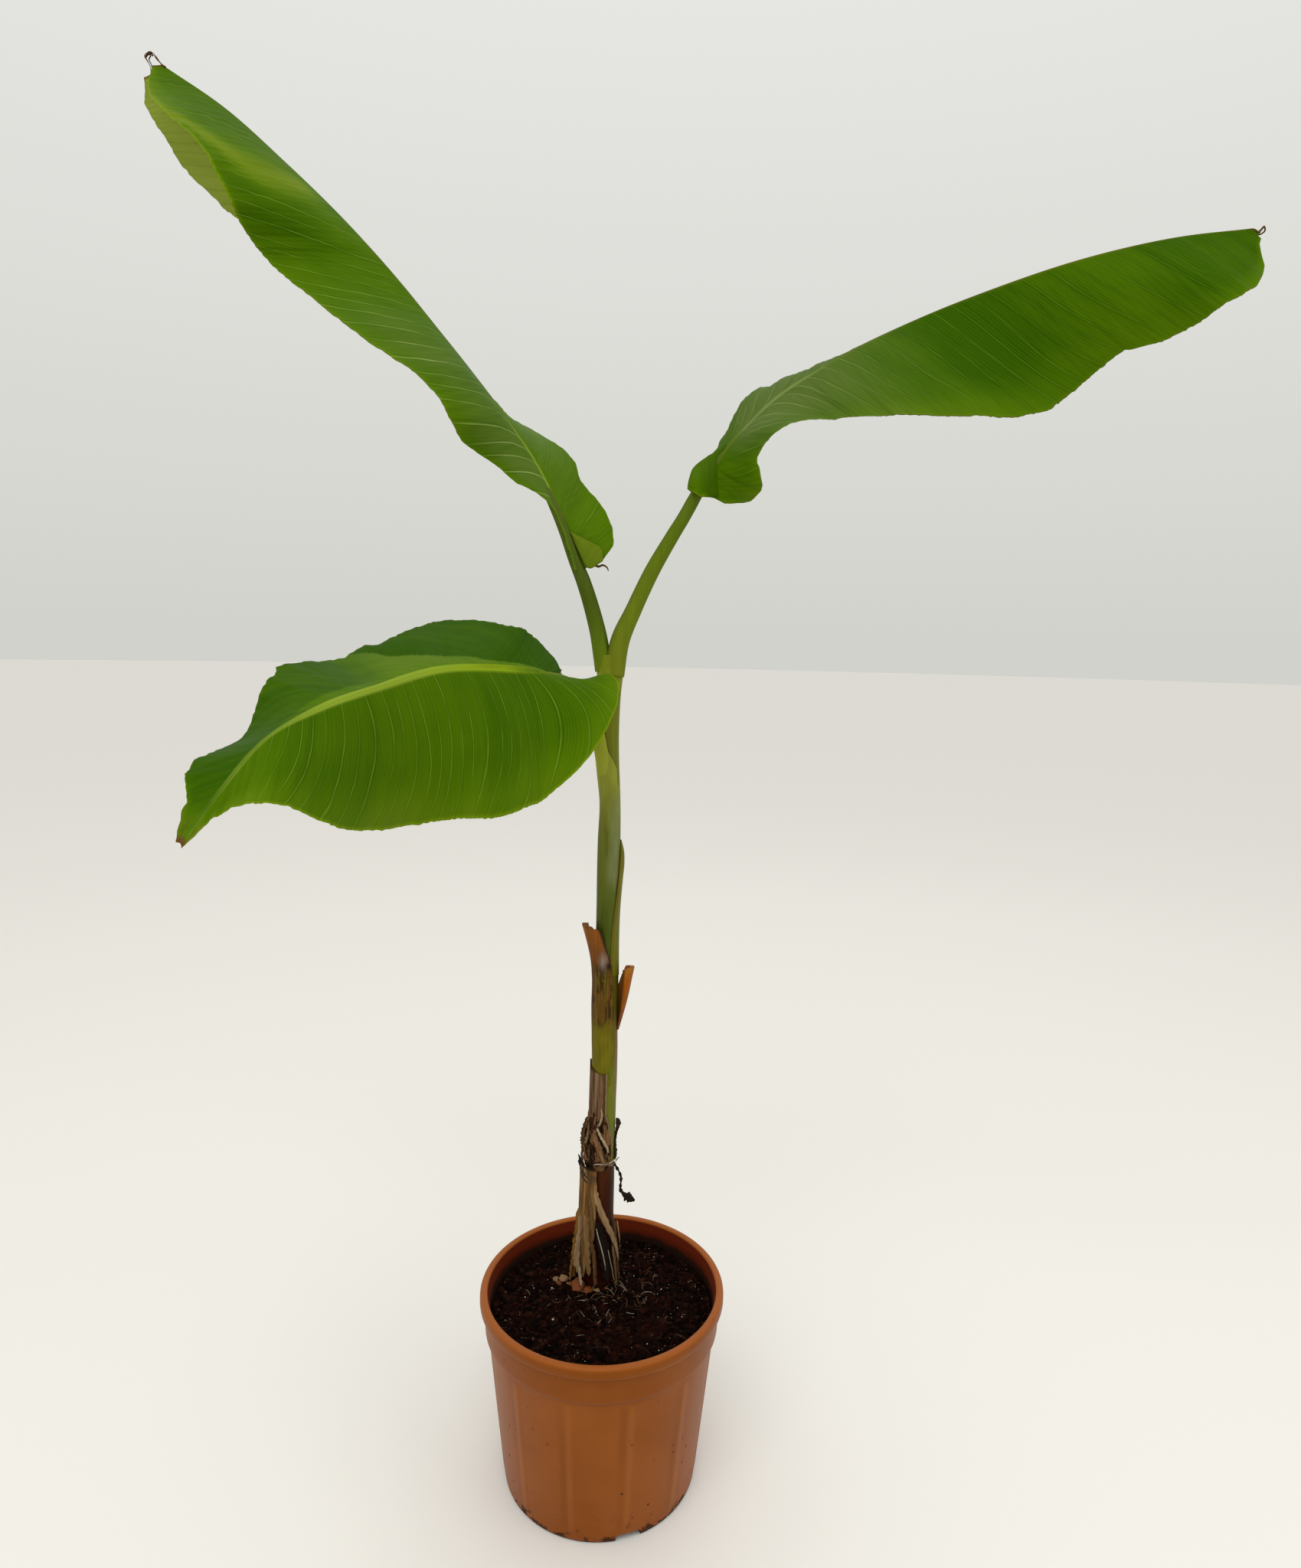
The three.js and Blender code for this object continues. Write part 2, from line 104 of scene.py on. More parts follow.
def smooth01(x, a, b):
    """0 below a, 1 above b, smooth between; also falls when b < a."""
    s = np.clip((np.asarray(x, float) - a) / (b - a), 0, 1)
    return s * s * (3 - 2 * s)


def bell(x, centre, width):
    return np.exp(-(((np.asarray(x, float) - centre) / width) ** 2))


def line_at(x, centre, half):
    """1 on a line, falling fast to 0 past its half width."""
    return np.exp(-((np.abs(np.asarray(x, float) - centre) / half) ** 4))


def wiggle(x, seed, wavelength, octaves=3):
    """Smooth seeded noise along x, about -1 to 1."""
    rng = np.random.default_rng(seed)
    x = np.asarray(x, float)
    total = np.zeros_like(x)
    weight = 0.0
    for k in range(octaves):
        w = wavelength / (1.9**k)
        for _ in range(3):
            total = total + np.sin(
                2 * np.pi * x / (w * rng.uniform(0.7, 1.4)) + rng.uniform(0, 6.28)
            ) * (0.6**k)
        weight += 0.6**k * 1.7
    return total / weight


def noise2(x, y, seed, octaves=4):
    """Smooth seeded noise over a plane of unit cells, about -1 to 1."""
    rng = np.random.default_rng(seed)
    total = np.zeros_like(x)
    amp, freq, weight = 1.0, 1.0, 0.0
    for _ in range(octaves):
        table = rng.uniform(-1, 1, (64, 64))
        ox, oy = rng.uniform(0, 64, 2)
        fx, fy = x * freq + ox, y * freq + oy
        ix, iy = np.floor(fx).astype(int), np.floor(fy).astype(int)
        sx, sy = fx - ix, fy - iy
        sx, sy = sx * sx * (3 - 2 * sx), sy * sy * (3 - 2 * sy)
        a = table[ix % 64, iy % 64]
        b = table[(ix + 1) % 64, iy % 64]
        c = table[ix % 64, (iy + 1) % 64]
        d = table[(ix + 1) % 64, (iy + 1) % 64]
        total += amp * ((a * (1 - sx) + b * sx) * (1 - sy) + (c * (1 - sx) + d * sx) * sy)
        weight += amp
        amp *= 0.5
        freq *= 2.03
    return total / weight


def mesh_object(name, verts, loops, starts, totals, mats, face_mat=None, smooth=True):
    me = bpy.data.meshes.new(name)
    me.vertices.add(len(verts))
    me.vertices.foreach_set("co", np.asarray(verts, np.float32).ravel())
    me.loops.add(len(loops))
    me.loops.foreach_set("vertex_index", np.asarray(loops, np.int32))
    me.polygons.add(len(starts))
    me.polygons.foreach_set("loop_start", np.asarray(starts, np.int32))
    me.polygons.foreach_set("loop_total", np.asarray(totals, np.int32))
    me.polygons.foreach_set("use_smooth", np.full(len(starts), smooth))
    for m in mats:
        me.materials.append(m)
    if face_mat is not None:
        me.polygons.foreach_set("material_index", np.asarray(face_mat, np.int32))
    me.update(calc_edges=True)
    me.validate(clean_customdata=False)
    ob = bpy.data.objects.new(name, me)
    scene.collection.objects.link(ob)
    return ob


class Build:
    """Collects grids into one mesh, with a colour, a vector and a bake map on every corner."""

    def __init__(self):
        self.v, self.f, self.uv, self.col, self.vec, self.mat = [], [], [], [], [], []
        self.n = 0

    def points(self, p, col=None, vec=None):
        p = np.asarray(p, float).reshape(-1, 3)
        k = len(p)
        self.v.append(p)
        c = np.zeros((k, 4)) if col is None else np.broadcast_to(np.asarray(col, float), (k, 4)) if np.ndim(col) == 1 else np.asarray(col, float).reshape(k, 4)
        self.col.append(c)
        w = np.zeros((k, 3)) if vec is None else np.asarray(vec, float).reshape(k, 3)
        self.vec.append(w)
        first = self.n
        self.n += k
        return first

    def quads(self, q, uv=None, mat=0):
        q = np.asarray(q, int).reshape(-1, 4)
        self.f.append(q)
        self.uv.append(np.zeros((len(q), 4, 2)) if uv is None else np.asarray(uv, float).reshape(-1, 4, 2))
        self.mat.append(np.full(len(q), mat))

    def grid(self, first, nr, nc, wrap=False, flip=False, uv_box=(0, 0, 1, 1), mat=0, keep=None):
        """Quads over points first + i * nc + j. uv_box is u0, v0, u1, v1."""
        i, j = np.meshgrid(np.arange(nr - 1), np.arange(nc if wrap else nc - 1), indexing="ij")
        i, j = i.ravel(), j.ravel()
        j2 = (j + 1) % nc
        a = first + i * nc + j
        b = first + i * nc + j2
        c = first + (i + 1) * nc + j2
        d = first + (i + 1) * nc + j
        u0, v0, u1, v1 = uv_box
        wide = nc if wrap else nc - 1
        U = lambda k: u0 + (u1 - u0) * k / (nr - 1)
        W = lambda k: v0 + (v1 - v0) * k / wide
        uv = np.stack([
            np.stack([U(i), W(j)], -1), np.stack([U(i), W(j + 1)], -1),
            np.stack([U(i + 1), W(j + 1)], -1), np.stack([U(i + 1), W(j)], -1),
        ], 1)
        q = np.stack([a, b, c, d], -1)
        if keep is not None:
            q, uv = q[keep], uv[keep]
        if flip:
            q, uv = q[:, ::-1], uv[:, ::-1]
        self.quads(q, uv, mat)

    def plate(self, top, bottom, col=None, vec=None, flip=False, box=(0, 0, 1, 1), mats=(0, 0, 0), col_b=None):
        """A closed thin plate from two grids of the same shape. mats are top, bottom, rim."""
        nr, nc = top.shape[:2]
        u0, v0, u1, v1 = box
        du, dv = u1 - u0, v1 - v0
        a = self.points(top, col, vec)
        b = self.points(bottom, col if col_b is None else col_b, vec)
        ua, ub = u0 + 0.02 * du, u1 - 0.02 * du
        self.grid(a, nr, nc, flip=flip, uv_box=(ua, v0 + 0.03 * dv, ub, v0 + 0.48 * dv), mat=mats[0])
        self.grid(b, nr, nc, flip=not flip, uv_box=(ua, v0 + 0.97 * dv, ub, v0 + 0.52 * dv), mat=mats[1])
        k = np.arange(nr - 1)
        def strip(p0, p1, p2, p3, uvs, fl):
            q = np.stack([p0, p1, p2, p3], -1)
            w = np.stack(uvs, 1)
            if fl:
                q, w = q[:, ::-1], w[:, ::-1]
            self.quads(q, w, mats[2])
        U = lambda x: ua + (ub - ua) * x / (nr - 1)
        one = np.ones(nr - 1)
        # long sides
        e = nc - 1
        strip(a + k * nc, a + (k + 1) * nc, b + (k + 1) * nc, b + k * nc,
              [np.stack([U(k), one * (v0 + 0.02 * dv)], -1), np.stack([U(k + 1), one * (v0 + 0.02 * dv)], -1),
               np.stack([U(k + 1), one * (v0 + 0.005 * dv)], -1), np.stack([U(k), one * (v0 + 0.005 * dv)], -1)], flip)
        strip(a + k * nc + e, b + k * nc + e, b + (k + 1) * nc + e, a + (k + 1) * nc + e,
              [np.stack([U(k), one * (v0 + 0.485 * dv)], -1), np.stack([U(k), one * (v0 + 0.515 * dv)], -1),
               np.stack([U(k + 1), one * (v0 + 0.515 * dv)], -1), np.stack([U(k + 1), one * (v0 + 0.485 * dv)], -1)], flip)
        # short sides
        k = np.arange(nc - 1)
        one = np.ones(nc - 1)
        Wc = lambda x: v0 + dv * (0.03 + 0.45 * x / (nc - 1))
        strip(a + k, b + k, b + k + 1, a + k + 1,
              [np.stack([one * (u0 + 0.015 * du), Wc(k)], -1), np.stack([one * (u0 + 0.002 * du), Wc(k)], -1),
               np.stack([one * (u0 + 0.002 * du), Wc(k + 1)], -1), np.stack([one * (u0 + 0.015 * du), Wc(k + 1)], -1)], flip)
        l = (nr - 1) * nc
        strip(a + l + k, a + l + k + 1, b + l + k + 1, b + l + k,
              [np.stack([one * (u1 - 0.015 * du), Wc(k)], -1), np.stack([one * (u1 - 0.015 * du), Wc(k + 1)], -1),
               np.stack([one * (u1 - 0.002 * du), Wc(k + 1)], -1), np.stack([one * (u1 - 0.002 * du), Wc(k)], -1)], flip)

    def tube(self, centres, radii, sides=10, col=None, mat=0, shape=None, hint=(0, 0, 1), caps=True, box=(0, 0, 1, 1)):
        """A closed tube. shape(phi, k) scales the radius; phi 0 points along hint."""
        c = np.asarray(centres, float)
        n = len(c)
        r = np.broadcast_to(np.asarray(radii, float), (n,))
        T = unit(np.gradient(c, axis=0))
        side = np.array(hint, float)
        phi = np.arange(sides) / sides * 2 * np.pi
        ring = np.zeros((n, sides, 3))
        vec = np.zeros((n, sides, 3))
        run = np.concatenate([[0], np.cumsum(np.linalg.norm(np.diff(c, axis=0), axis=1))])
        for k in range(n):
            side = side - T[k] * np.dot(side, T[k])
            if np.linalg.norm(side) < 1e-6:
                side = np.cross(T[k], [0.3, 0.5, 0.8])
            side = side / np.linalg.norm(side)
            other = np.cross(T[k], side)
            rr = r[k] * (np.ones(sides) if shape is None else shape(phi, k))
            ring[k] = c[k] + rr[:, None] * (np.cos(phi)[:, None] * side + np.sin(phi)[:, None] * other)
            vec[k, :, 0] = run[k]
            vec[k, :, 1] = phi / (2 * np.pi)
            vec[k, :, 2] = k / (n - 1)
        if col is not None and np.ndim(col) == 2 and len(col) == n:
            col = np.repeat(np.asarray(col)[:, None, :], sides, 1)
        first = self.points(ring, col, vec)
        u0, v0, u1, v1 = box
        self.grid(first, n, sides, wrap=True, uv_box=(u0 + 0.03 * (u1 - u0), v0, u1 - 0.03 * (u1 - u0), v1), mat=mat)
        if caps:
            for k, fl in ((0, True), (n - 1, False)):
                cc = np.zeros((1, 4)) if col is None else np.asarray(col, float)[None] if np.ndim(col) == 1 else np.asarray(col, float).reshape(n, sides, 4)[k, :1]
                mid = self.points(ring[k].mean(0), cc, vec[k, :1])
                j = np.arange(0, sides, 2)
                base = first + k * sides
                q = np.stack([base + j, base + (j + 1) % sides, base + (j + 2) % sides, np.full(len(j), mid)], -1)
                uu = u0 + (u1 - u0) * (0.002 if k == 0 else 0.998)
                ue = u0 + (u1 - u0) * (0.028 if k == 0 else 0.972)
                W = lambda x: v0 + (v1 - v0) * x / sides
                uv = np.stack([
                    np.stack([np.full(len(j), ue), W(j)], -1), np.stack([np.full(len(j), ue), W(j + 1)], -1),
                    np.stack([np.full(len(j), ue), W(j + 2)], -1), np.stack([np.full(len(j), uu), W(j + 1)], -1)], 1)
                if not fl:
                    self.quads(q, uv, mat)
                else:
                    self.quads(q[:, ::-1], uv[:, ::-1], mat)
        return first

    def object(self, name, mats, bake=True, smooth=True):
        v = np.concatenate(self.v)
        f = np.concatenate(self.f)
        ob = mesh_object(name, v, f.ravel(), np.arange(len(f)) * 4, np.full(len(f), 4), mats, np.concatenate(self.mat), smooth)
        me = ob.data
        if len(me.polygons) != len(f):
            raise RuntimeError(name + ": a face was dropped")
        if bake:
            layer = me.uv_layers.new(name="OFBake")
            layer.uv.foreach_set("vector", np.concatenate(self.uv).astype(np.float32).ravel())
        a = me.color_attributes.new("paint", "FLOAT_COLOR", "POINT")
        a.data.foreach_set("color", np.concatenate(self.col).astype(np.float32).ravel())
        b = me.attributes.new("along", "FLOAT_VECTOR", "POINT")
        b.data.foreach_set("vector", np.concatenate(self.vec).astype(np.float32).ravel())
        return ob


# ---------------------------------------------------------------- materials


class Look:
    """A small hand for shader nodes."""

    def __init__(self, name, roughness=0.5, specular=0.4):
        self.m = bpy.data.materials.new(name)
        self.m.use_nodes = True
        self.t = self.m.node_tree
        self.t.nodes.clear()
        out = self.t.nodes.new("ShaderNodeOutputMaterial")
        self.b = self.t.nodes.new("ShaderNodeBsdfPrincipled")
        self.t.links.new(self.b.outputs[0], out.inputs[0])
        self.b.inputs["Roughness"].default_value = roughness
        self.b.inputs["Specular IOR Level"].default_value = specular

    def put(self, socket, value):
        if isinstance(value, bpy.types.NodeSocket):
            self.t.links.new(value, socket)
        else:
            if hasattr(socket.default_value, "__len__") and np.ndim(value) == 1 and len(value) == 3 and len(socket.default_value) == 4:
                value = (*value, 1.0)
            socket.default_value = value

    def coords(self):
        return self.t.nodes.new("ShaderNodeTexCoord").outputs["Object"]

    def attr(self, name, out="Vector"):
        n = self.t.nodes.new("ShaderNodeAttribute")
        n.attribute_name = name
        return n.outputs[out]

    def split(self, vec):
        n = self.t.nodes.new("ShaderNodeSeparateXYZ")
        self.put(n.inputs[0], vec)
        return n.outputs

    def split_colour(self, colour):
        n = self.t.nodes.new("ShaderNodeSeparateColor")
        self.put(n.inputs[0], colour)
        return n.outputs

    def join(self, x, y, z):
        n = self.t.nodes.new("ShaderNodeCombineXYZ")
        for s, v in zip(n.inputs, (x, y, z)):
            self.put(s, v)
        return n.outputs[0]

    def scale(self, vec, xyz):
        n = self.t.nodes.new("ShaderNodeVectorMath")
        n.operation = "MULTIPLY"
        self.put(n.inputs[0], vec)
        n.inputs[1].default_value = xyz
        return n.outputs[0]

    def noise(self, vec, scale=1.0, detail=3.0, rough=0.5, distortion=0.0):
        n = self.t.nodes.new("ShaderNodeTexNoise")
        self.put(n.inputs["Vector"], vec)
        n.inputs["Scale"].default_value = scale
        n.inputs["Detail"].default_value = detail
        n.inputs["Roughness"].default_value = rough
        n.inputs["Distortion"].default_value = distortion
        return n.outputs[0]

    def voronoi(self, vec, scale=1.0, feature="F1", randomness=1.0, out="Distance"):
        n = self.t.nodes.new("ShaderNodeTexVoronoi")
        n.feature = feature
        self.put(n.inputs["Vector"], vec)
        n.inputs["Scale"].default_value = scale
        n.inputs["Randomness"].default_value = randomness
        return n.outputs[out]

    def lines(self, w, randomness=0.6):
        """Distance to the nearest of a row of lines, one for each unit of w."""
        n = self.t.nodes.new("ShaderNodeTexVoronoi")
        n.voronoi_dimensions = "1D"
        n.feature = "DISTANCE_TO_EDGE"
        self.put(n.inputs["W"], w)
        n.inputs["Scale"].default_value = 1.0
        n.inputs["Randomness"].default_value = randomness
        return n.outputs["Distance"]

    def calc(self, op, a, b=0.0, clamp=False):
        n = self.t.nodes.new("ShaderNodeMath")
        n.operation = op
        n.use_clamp = clamp
        self.put(n.inputs[0], a)
        self.put(n.inputs[1], b)
        return n.outputs[0]

    def remap(self, x, a, b, c=0.0, d=1.0, smooth=True):
        n = self.t.nodes.new("ShaderNodeMapRange")
        n.interpolation_type = "SMOOTHSTEP" if smooth else "LINEAR"
        self.put(n.inputs["Value"], x)
        n.inputs["From Min"].default_value = a
        n.inputs["From Max"].default_value = b
        n.inputs["To Min"].default_value = c
        n.inputs["To Max"].default_value = d
        return n.outputs[0]

    def mix(self, fac, a, b, blend="MIX"):
        n = self.t.nodes.new("ShaderNodeMix")
        n.data_type = "RGBA"
        n.blend_type = blend
        self.put(n.inputs[0], fac)
        self.put(n.inputs[6], a)
        self.put(n.inputs[7], b)
        return n.outputs[2]

    def ramp(self, fac, stops):
        n = self.t.nodes.new("ShaderNodeValToRGB")
        self.put(n.inputs[0], fac)
        el = n.color_ramp.elements
        while len(el) > 1:
            el.remove(el[-1])
        el[0].position, el[0].color = stops[0][0], (*stops[0][1], 1)
        for p, c in stops[1:]:
            e = el.new(p)
            e.color = (*c, 1)
        return n.outputs[0]

    def bump(self, height, strength=0.5, distance=0.001, normal=None):
        n = self.t.nodes.new("ShaderNodeBump")
        n.inputs["Strength"].default_value = strength
        n.inputs["Distance"].default_value = distance
        self.put(n.inputs["Height"], height)
        if normal is not None:
            self.put(n.inputs["Normal"], normal)
        return n.outputs[0]

    def finish(self, colour=None, roughness=None, normal=None):
        if colour is not None:
            self.put(self.b.inputs["Base Color"], colour)
        if roughness is not None:
            self.put(self.b.inputs["Roughness"], roughness)
        if normal is not None:
            self.put(self.b.inputs["Normal"], normal)
        return self.m


def plain_look(name, colour, roughness=0.8, specular=0.2):
    k = Look(name, roughness, specular)
    return k.finish(colour)


# What the paint attribute of a leaf holds: red the waxy bloom, green how light and yellow the blade is, painted light
# and shade included, blue how dry and brown, alpha how far the pale midrib or margin shows.
# The along attribute holds metres along the rib, metres out from it, and 0 to 1 across.


def leaf_look(name, dark, mid, light, bloom, pale, pale_grey, vein, dry=(0.16, 0.075, 0.02), vein_gain=1.0, rough=0.55):
    k = Look(name, rough, 0.016)
    k.b.inputs["Specular Tint"].default_value = (0.85, 1.0, 0.20, 1)
    s, d, strong = k.split(k.attr("along"))
    paint = k.attr("paint", "Color")
    alpha = k.attr("paint", "Alpha")
    r, g, b = k.split_colour(paint)[:3]
    # pleats, parallel veins and finer lines all run from rib to margin
    pleat = k.noise(k.join(k.calc("MULTIPLY", s, 84.0), k.calc("MULTIPLY", d, 3.0), 0.0), 1.0, 2.0, 0.5)
    fine = k.noise(k.join(k.calc("MULTIPLY", s, 1150.0), k.calc("MULTIPLY", d, 9.0), 3.0), 1.0, 3.0, 0.6)
    patch = k.noise(k.join(k.calc("MULTIPLY", s, 19.0), k.calc("MULTIPLY", d, 13.0), 7.0), 1.0, 3.0, 0.55)
    wander = k.noise(k.join(k.calc("MULTIPLY", s, 40.0), k.calc("MULTIPLY", d, 7.0), 1.0), 1.0, 1.0, 0.5)
    w = k.calc("ADD", k.calc("MULTIPLY", s, 92.0), k.calc("MULTIPLY", wander, 0.9))
    edge = k.lines(w, 0.72)
    main = k.remap(edge, 0.010, 0.052, 1.0, 0.0)
    which = k.noise(k.join(k.calc("MULTIPLY", s, 50.0), k.calc("MULTIPLY", d, 16.0), 5.0), 1.0, 3.0, 0.6)
    main = k.calc("MULTIPLY", main, k.remap(which, 0.36, 0.60, 0.30, 1.0))
    # painted shadow beside each vein
    beside = k.remap(edge, 0.03, 0.22, 1.0, 0.0)
    thin = k.remap(k.lines(k.calc("ADD", k.calc("MULTIPLY", s, 560.0), k.calc("MULTIPLY", wander, 2.6)), 0.9), 0.0, 0.16, 1.0, 0.0)
    # how light the blade is, painted light and shade included: 0 dark, 0.5 middle, 1 light; the pleats add painted
    # light and shade, and a painted shadow lies beside each vein
    tone = k.calc("ADD", g, k.calc("MULTIPLY", k.calc("SUBTRACT", patch, 0.5), 0.42))
    tone = k.calc("ADD", tone, k.calc("MULTIPLY", k.calc("SUBTRACT", pleat, 0.5), 0.38))
    tone = k.calc("ADD", tone, k.calc("MULTIPLY", k.calc("SUBTRACT", fine, 0.5), 0.16))
    tone = k.calc("SUBTRACT", tone, k.calc("MULTIPLY", beside, 0.10))
    colour = k.mix(k.remap(tone, 0.0, 0.5, smooth=False), dark, mid)
    colour = k.mix(k.remap(tone, 0.5, 1.0, smooth=False), colour, light)
    colour = k.mix(k.calc("MULTIPLY", r, k.remap(pleat, 0.25, 0.7, 0.65, 1.0)), colour, bloom)
    colour = k.mix(k.calc("MULTIPLY", thin, 0.20 * vein_gain), colour, vein)
    shown = k.calc("MULTIPLY", main, k.calc("ADD", k.calc("MULTIPLY", r, 0.30), strong), clamp=True)
    colour = k.mix(k.calc("MULTIPLY", shown, vein_gain), colour, k.mix(r, vein, pale_grey))
    colour = k.mix(alpha, colour, k.mix(r, pale, pale_grey))
    dry_var = k.mix(k.remap(fine, 0.35, 0.7), dry, tuple(0.35 * x for x in dry))
    colour = k.mix(b, colour, dry_var)
    h = k.calc("ADD", k.calc("MULTIPLY", fine, 0.25), k.calc("MULTIPLY", main, 0.8))
    n = k.bump(h, 0.30, 0.0005)
    rough_var = k.calc("ADD", rough - 0.06, k.calc("MULTIPLY", fine, 0.12))
    rough_var = k.calc("ADD", rough_var, k.calc("MULTIPLY", r, 0.15))
    return k.finish(colour, rough_var, n)


leaf_top = leaf_look(
    "leaf_upper", (0.024, 0.078, 0.0), (0.071, 0.148, 0.001), (0.140, 0.206, 0.008),
    (0.100, 0.145, 0.034), (0.222, 0.322, 0.008), (0.285, 0.345, 0.130), (0.155, 0.245, 0.020),
)
leaf_under = leaf_look(
    "leaf_under", (0.080, 0.128, 0.006), (0.118, 0.168, 0.008), (0.238, 0.302, 0.042),
    (0.130, 0.165, 0.045), (0.175, 0.225, 0.020), (0.20, 0.24, 0.08), (0.185, 0.225, 0.030), vein_gain=0.6, rough=0.6,
)


def streak_look(name, roughness=0.5, specular=0.35, streak=(900.0, 900.0, 22.0), amount=0.5, fine=0.4, bump=0.35, spots=0.0, spot=(0.03, 0.015, 0.006)):
    """The painted colour, broken up by streaks and fibres along the stem."""
    k = Look(name, roughness, specular)
    k.b.inputs["Specular Tint"].default_value = (1.0, 0.92, 0.50, 1)
    base = k.attr("paint", "Color")
    at = k.coords()
    a = k.noise(k.scale(at, tuple(0.35 * x for x in streak)), 1.0, 4.0, 0.6)
    b = k.noise(k.scale(at, streak), 1.0, 3.0, 0.6)
    c = k.noise(k.scale(at, (70.0, 70.0, 30.0)), 1.0, 4.0, 0.6)
    dark = k.mix(1.0, base, (0.50, 0.50, 0.50, 1.0), "MULTIPLY")
    light = k.mix(1.0, base, (1.35, 1.32, 1.30, 1.0), "MULTIPLY")
    colour = k.mix(k.calc("MULTIPLY", k.remap(a, 0.35, 0.7), amount), base, dark)
    colour = k.mix(k.calc("MULTIPLY", k.remap(b, 0.45, 0.75), fine), colour, light)
    colour = k.mix(k.calc("MULTIPLY", k.remap(c, 0.52, 0.75), amount * 0.6), colour, dark)
    if spots:
        d = k.noise(k.scale(at, (260.0, 260.0, 120.0)), 1.0, 3.0, 0.65)
        colour = k.mix(k.remap(d, 0.66 - 0.1 * spots, 0.74, 0.0, spots), colour, spot)
    h = k.calc("ADD", k.calc("MULTIPLY", a, 0.6), k.calc("MULTIPLY", b, 0.4))
    n = k.bump(h, bump, 0.0006)
    return k.finish(colour, k.calc("ADD", roughness - 0.1, k.calc("MULTIPLY", b, 0.2)), n)


stem_look = streak_look("stem_sheaths", 0.5, 0.16, amount=0.26, fine=0.26, bump=0.20, spots=0.12)
petiole_look = streak_look("petioles", 0.5, 0.02, streak=(700.0, 700.0, 16.0), amount=0.20, fine=0.22, bump=0.12)
stub_look = streak_look("cut_stubs", 0.6, 0.12, amount=0.45, fine=0.35, bump=0.5, spots=0.35)
dry_look = streak_look("dry_sheaths", 0.85, 0.06, streak=(1100.0, 1100.0, 30.0), amount=0.60, fine=0.55, bump=0.8, spots=0.35)


def pot_look():
    k = Look("pot_plastic", 0.40, 0.22)
    k.b.inputs["Specular Tint"].default_value = (1.0, 0.74, 0.46, 1)
    at = k.coords()
    x, y, z = k.split(at)
    cloud = k.noise(at, 11.0, 4.0, 0.55)
    grain = k.noise(at, 900.0, 2.0, 0.5)
    scuff = k.noise(k.scale(at, (60.0, 60.0, 240.0)), 1.0, 4.0, 0.65)
    base = k.mix(k.remap(cloud, 0.35, 0.65), (0.228, 0.055, 0.001, 1), (0.262, 0.069, 0.006, 1))
    base = k.mix(k.calc("MULTIPLY", k.remap(scuff, 0.60, 0.78), 0.16), base, (0.33, 0.115, 0.035, 1))
    # ridges of the wall: a stripe of painted shade next to a stripe of painted highlight
    turn_round = k.calc("ARCTAN2", y, x)
    f = k.calc("FRACT", k.calc("ADD", k.calc("MULTIPLY", turn_round, 12 / (2 * math.pi)), 0.5 - 17 / 30 + 12.0))
    on_wall = k.calc("MULTIPLY", k.remap(z, 0.004, 0.03), k.remap(z, 0.193, 0.180))
    gap = k.noise(k.join(k.calc("MULTIPLY", turn_round, 5.0), k.calc("MULTIPLY", z, 9.0), 0.0), 1.0, 2.0, 0.5)
    deep = k.calc("MULTIPLY", k.remap(k.calc("ABSOLUTE", k.calc("SUBTRACT", f, 0.375)), 0.02, 0.10, 0.34, 0.0), k.remap(gap, 0.35, 0.6, 0.4, 1.0))
    base = k.mix(k.calc("MULTIPLY", deep, on_wall), base, (0.155, 0.034, 0.001, 1))
    pale = k.remap(k.calc("ABSOLUTE", k.calc("SUBTRACT", f, 0.505)), 0.015, 0.075, 0.26, 0.0)
    base = k.mix(k.calc("MULTIPLY", pale, on_wall), base, (0.345, 0.110, 0.022, 1))
    # painted shade on the outer face of the lip, and a painted highlight on its rounded top
    radius = k.calc("SQRT", k.calc("ADD", k.calc("MULTIPLY", x, x), k.calc("MULTIPLY", y, y)))
    lip = k.calc("MULTIPLY", k.remap(z, 0.1945, 0.1965), k.remap(z, 0.2425, 0.2395))
    base = k.mix(k.calc("MULTIPLY", lip, 0.30), base, (0.165, 0.036, 0.001, 1))
    base = k.mix(k.calc("MULTIPLY", k.remap(z, 0.2405, 0.2445), 0.55), base, (0.36, 0.100, 0.022, 1))
    # painted shade in the fold where the lip turns in over the wall and at the lower edge of the collar below it, and a
    # painted highlight just above the fold
    for level, gain in ((0.2290, 0.75), (0.1940, 0.62)):
        line = k.remap(k.calc("ABSOLUTE", k.calc("SUBTRACT", z, level)), 0.0006, 0.0020, gain, 0.0)
        base = k.mix(line, base, (0.085, 0.018, 0.001, 1))
    shine = k.remap(k.calc("ABSOLUTE", k.calc("SUBTRACT", z, 0.2312)), 0.0004, 0.0013, 0.75, 0.0)
    base = k.mix(k.calc("MULTIPLY", shine, k.remap(cloud, 0.42, 0.58)), base, (0.52, 0.22, 0.06, 1))
    # soil left on the wall, thickest at the foot
    low = k.remap(z, 0.0, 0.060, 1.0, 0.0)
    dirt = k.noise(at, 62.0, 5.0, 0.68)
    thin = k.noise(at, 24.0, 4.0, 0.6)
    smear = k.calc("MULTIPLY", k.remap(dirt, 0.52, 0.70), k.calc("MULTIPLY", low, k.remap(thin, 0.40, 0.6)))
    foot = k.remap(k.calc("SUBTRACT", dirt, k.calc("MULTIPLY", z, 13.0)), 0.40, 0.46)
    ring = k.calc("MULTIPLY", k.remap(z, 0.0012, 0.0036, 0.92, 0.0), k.remap(thin, 0.40, 0.50, 0.25, 1.0))
    speck = k.remap(k.voronoi(at, 58.0, out="Distance"), 0.060, 0.125, 1.0, 0.0)
    speck = k.calc("MULTIPLY", speck, k.remap(k.noise(at, 17.0, 2.0, 0.5), 0.46, 0.52))
    speck = k.calc("MULTIPLY", speck, k.remap(z, 0.060, 0.190, 1.0, 0.35))
    dirty = k.calc("MAXIMUM", k.calc("MULTIPLY", smear, 0.50), k.calc("MULTIPLY", foot, 0.9))
    dirty = k.calc("MAXIMUM", dirty, k.calc("MAXIMUM", ring, k.calc("MULTIPLY", speck, 0.85)))
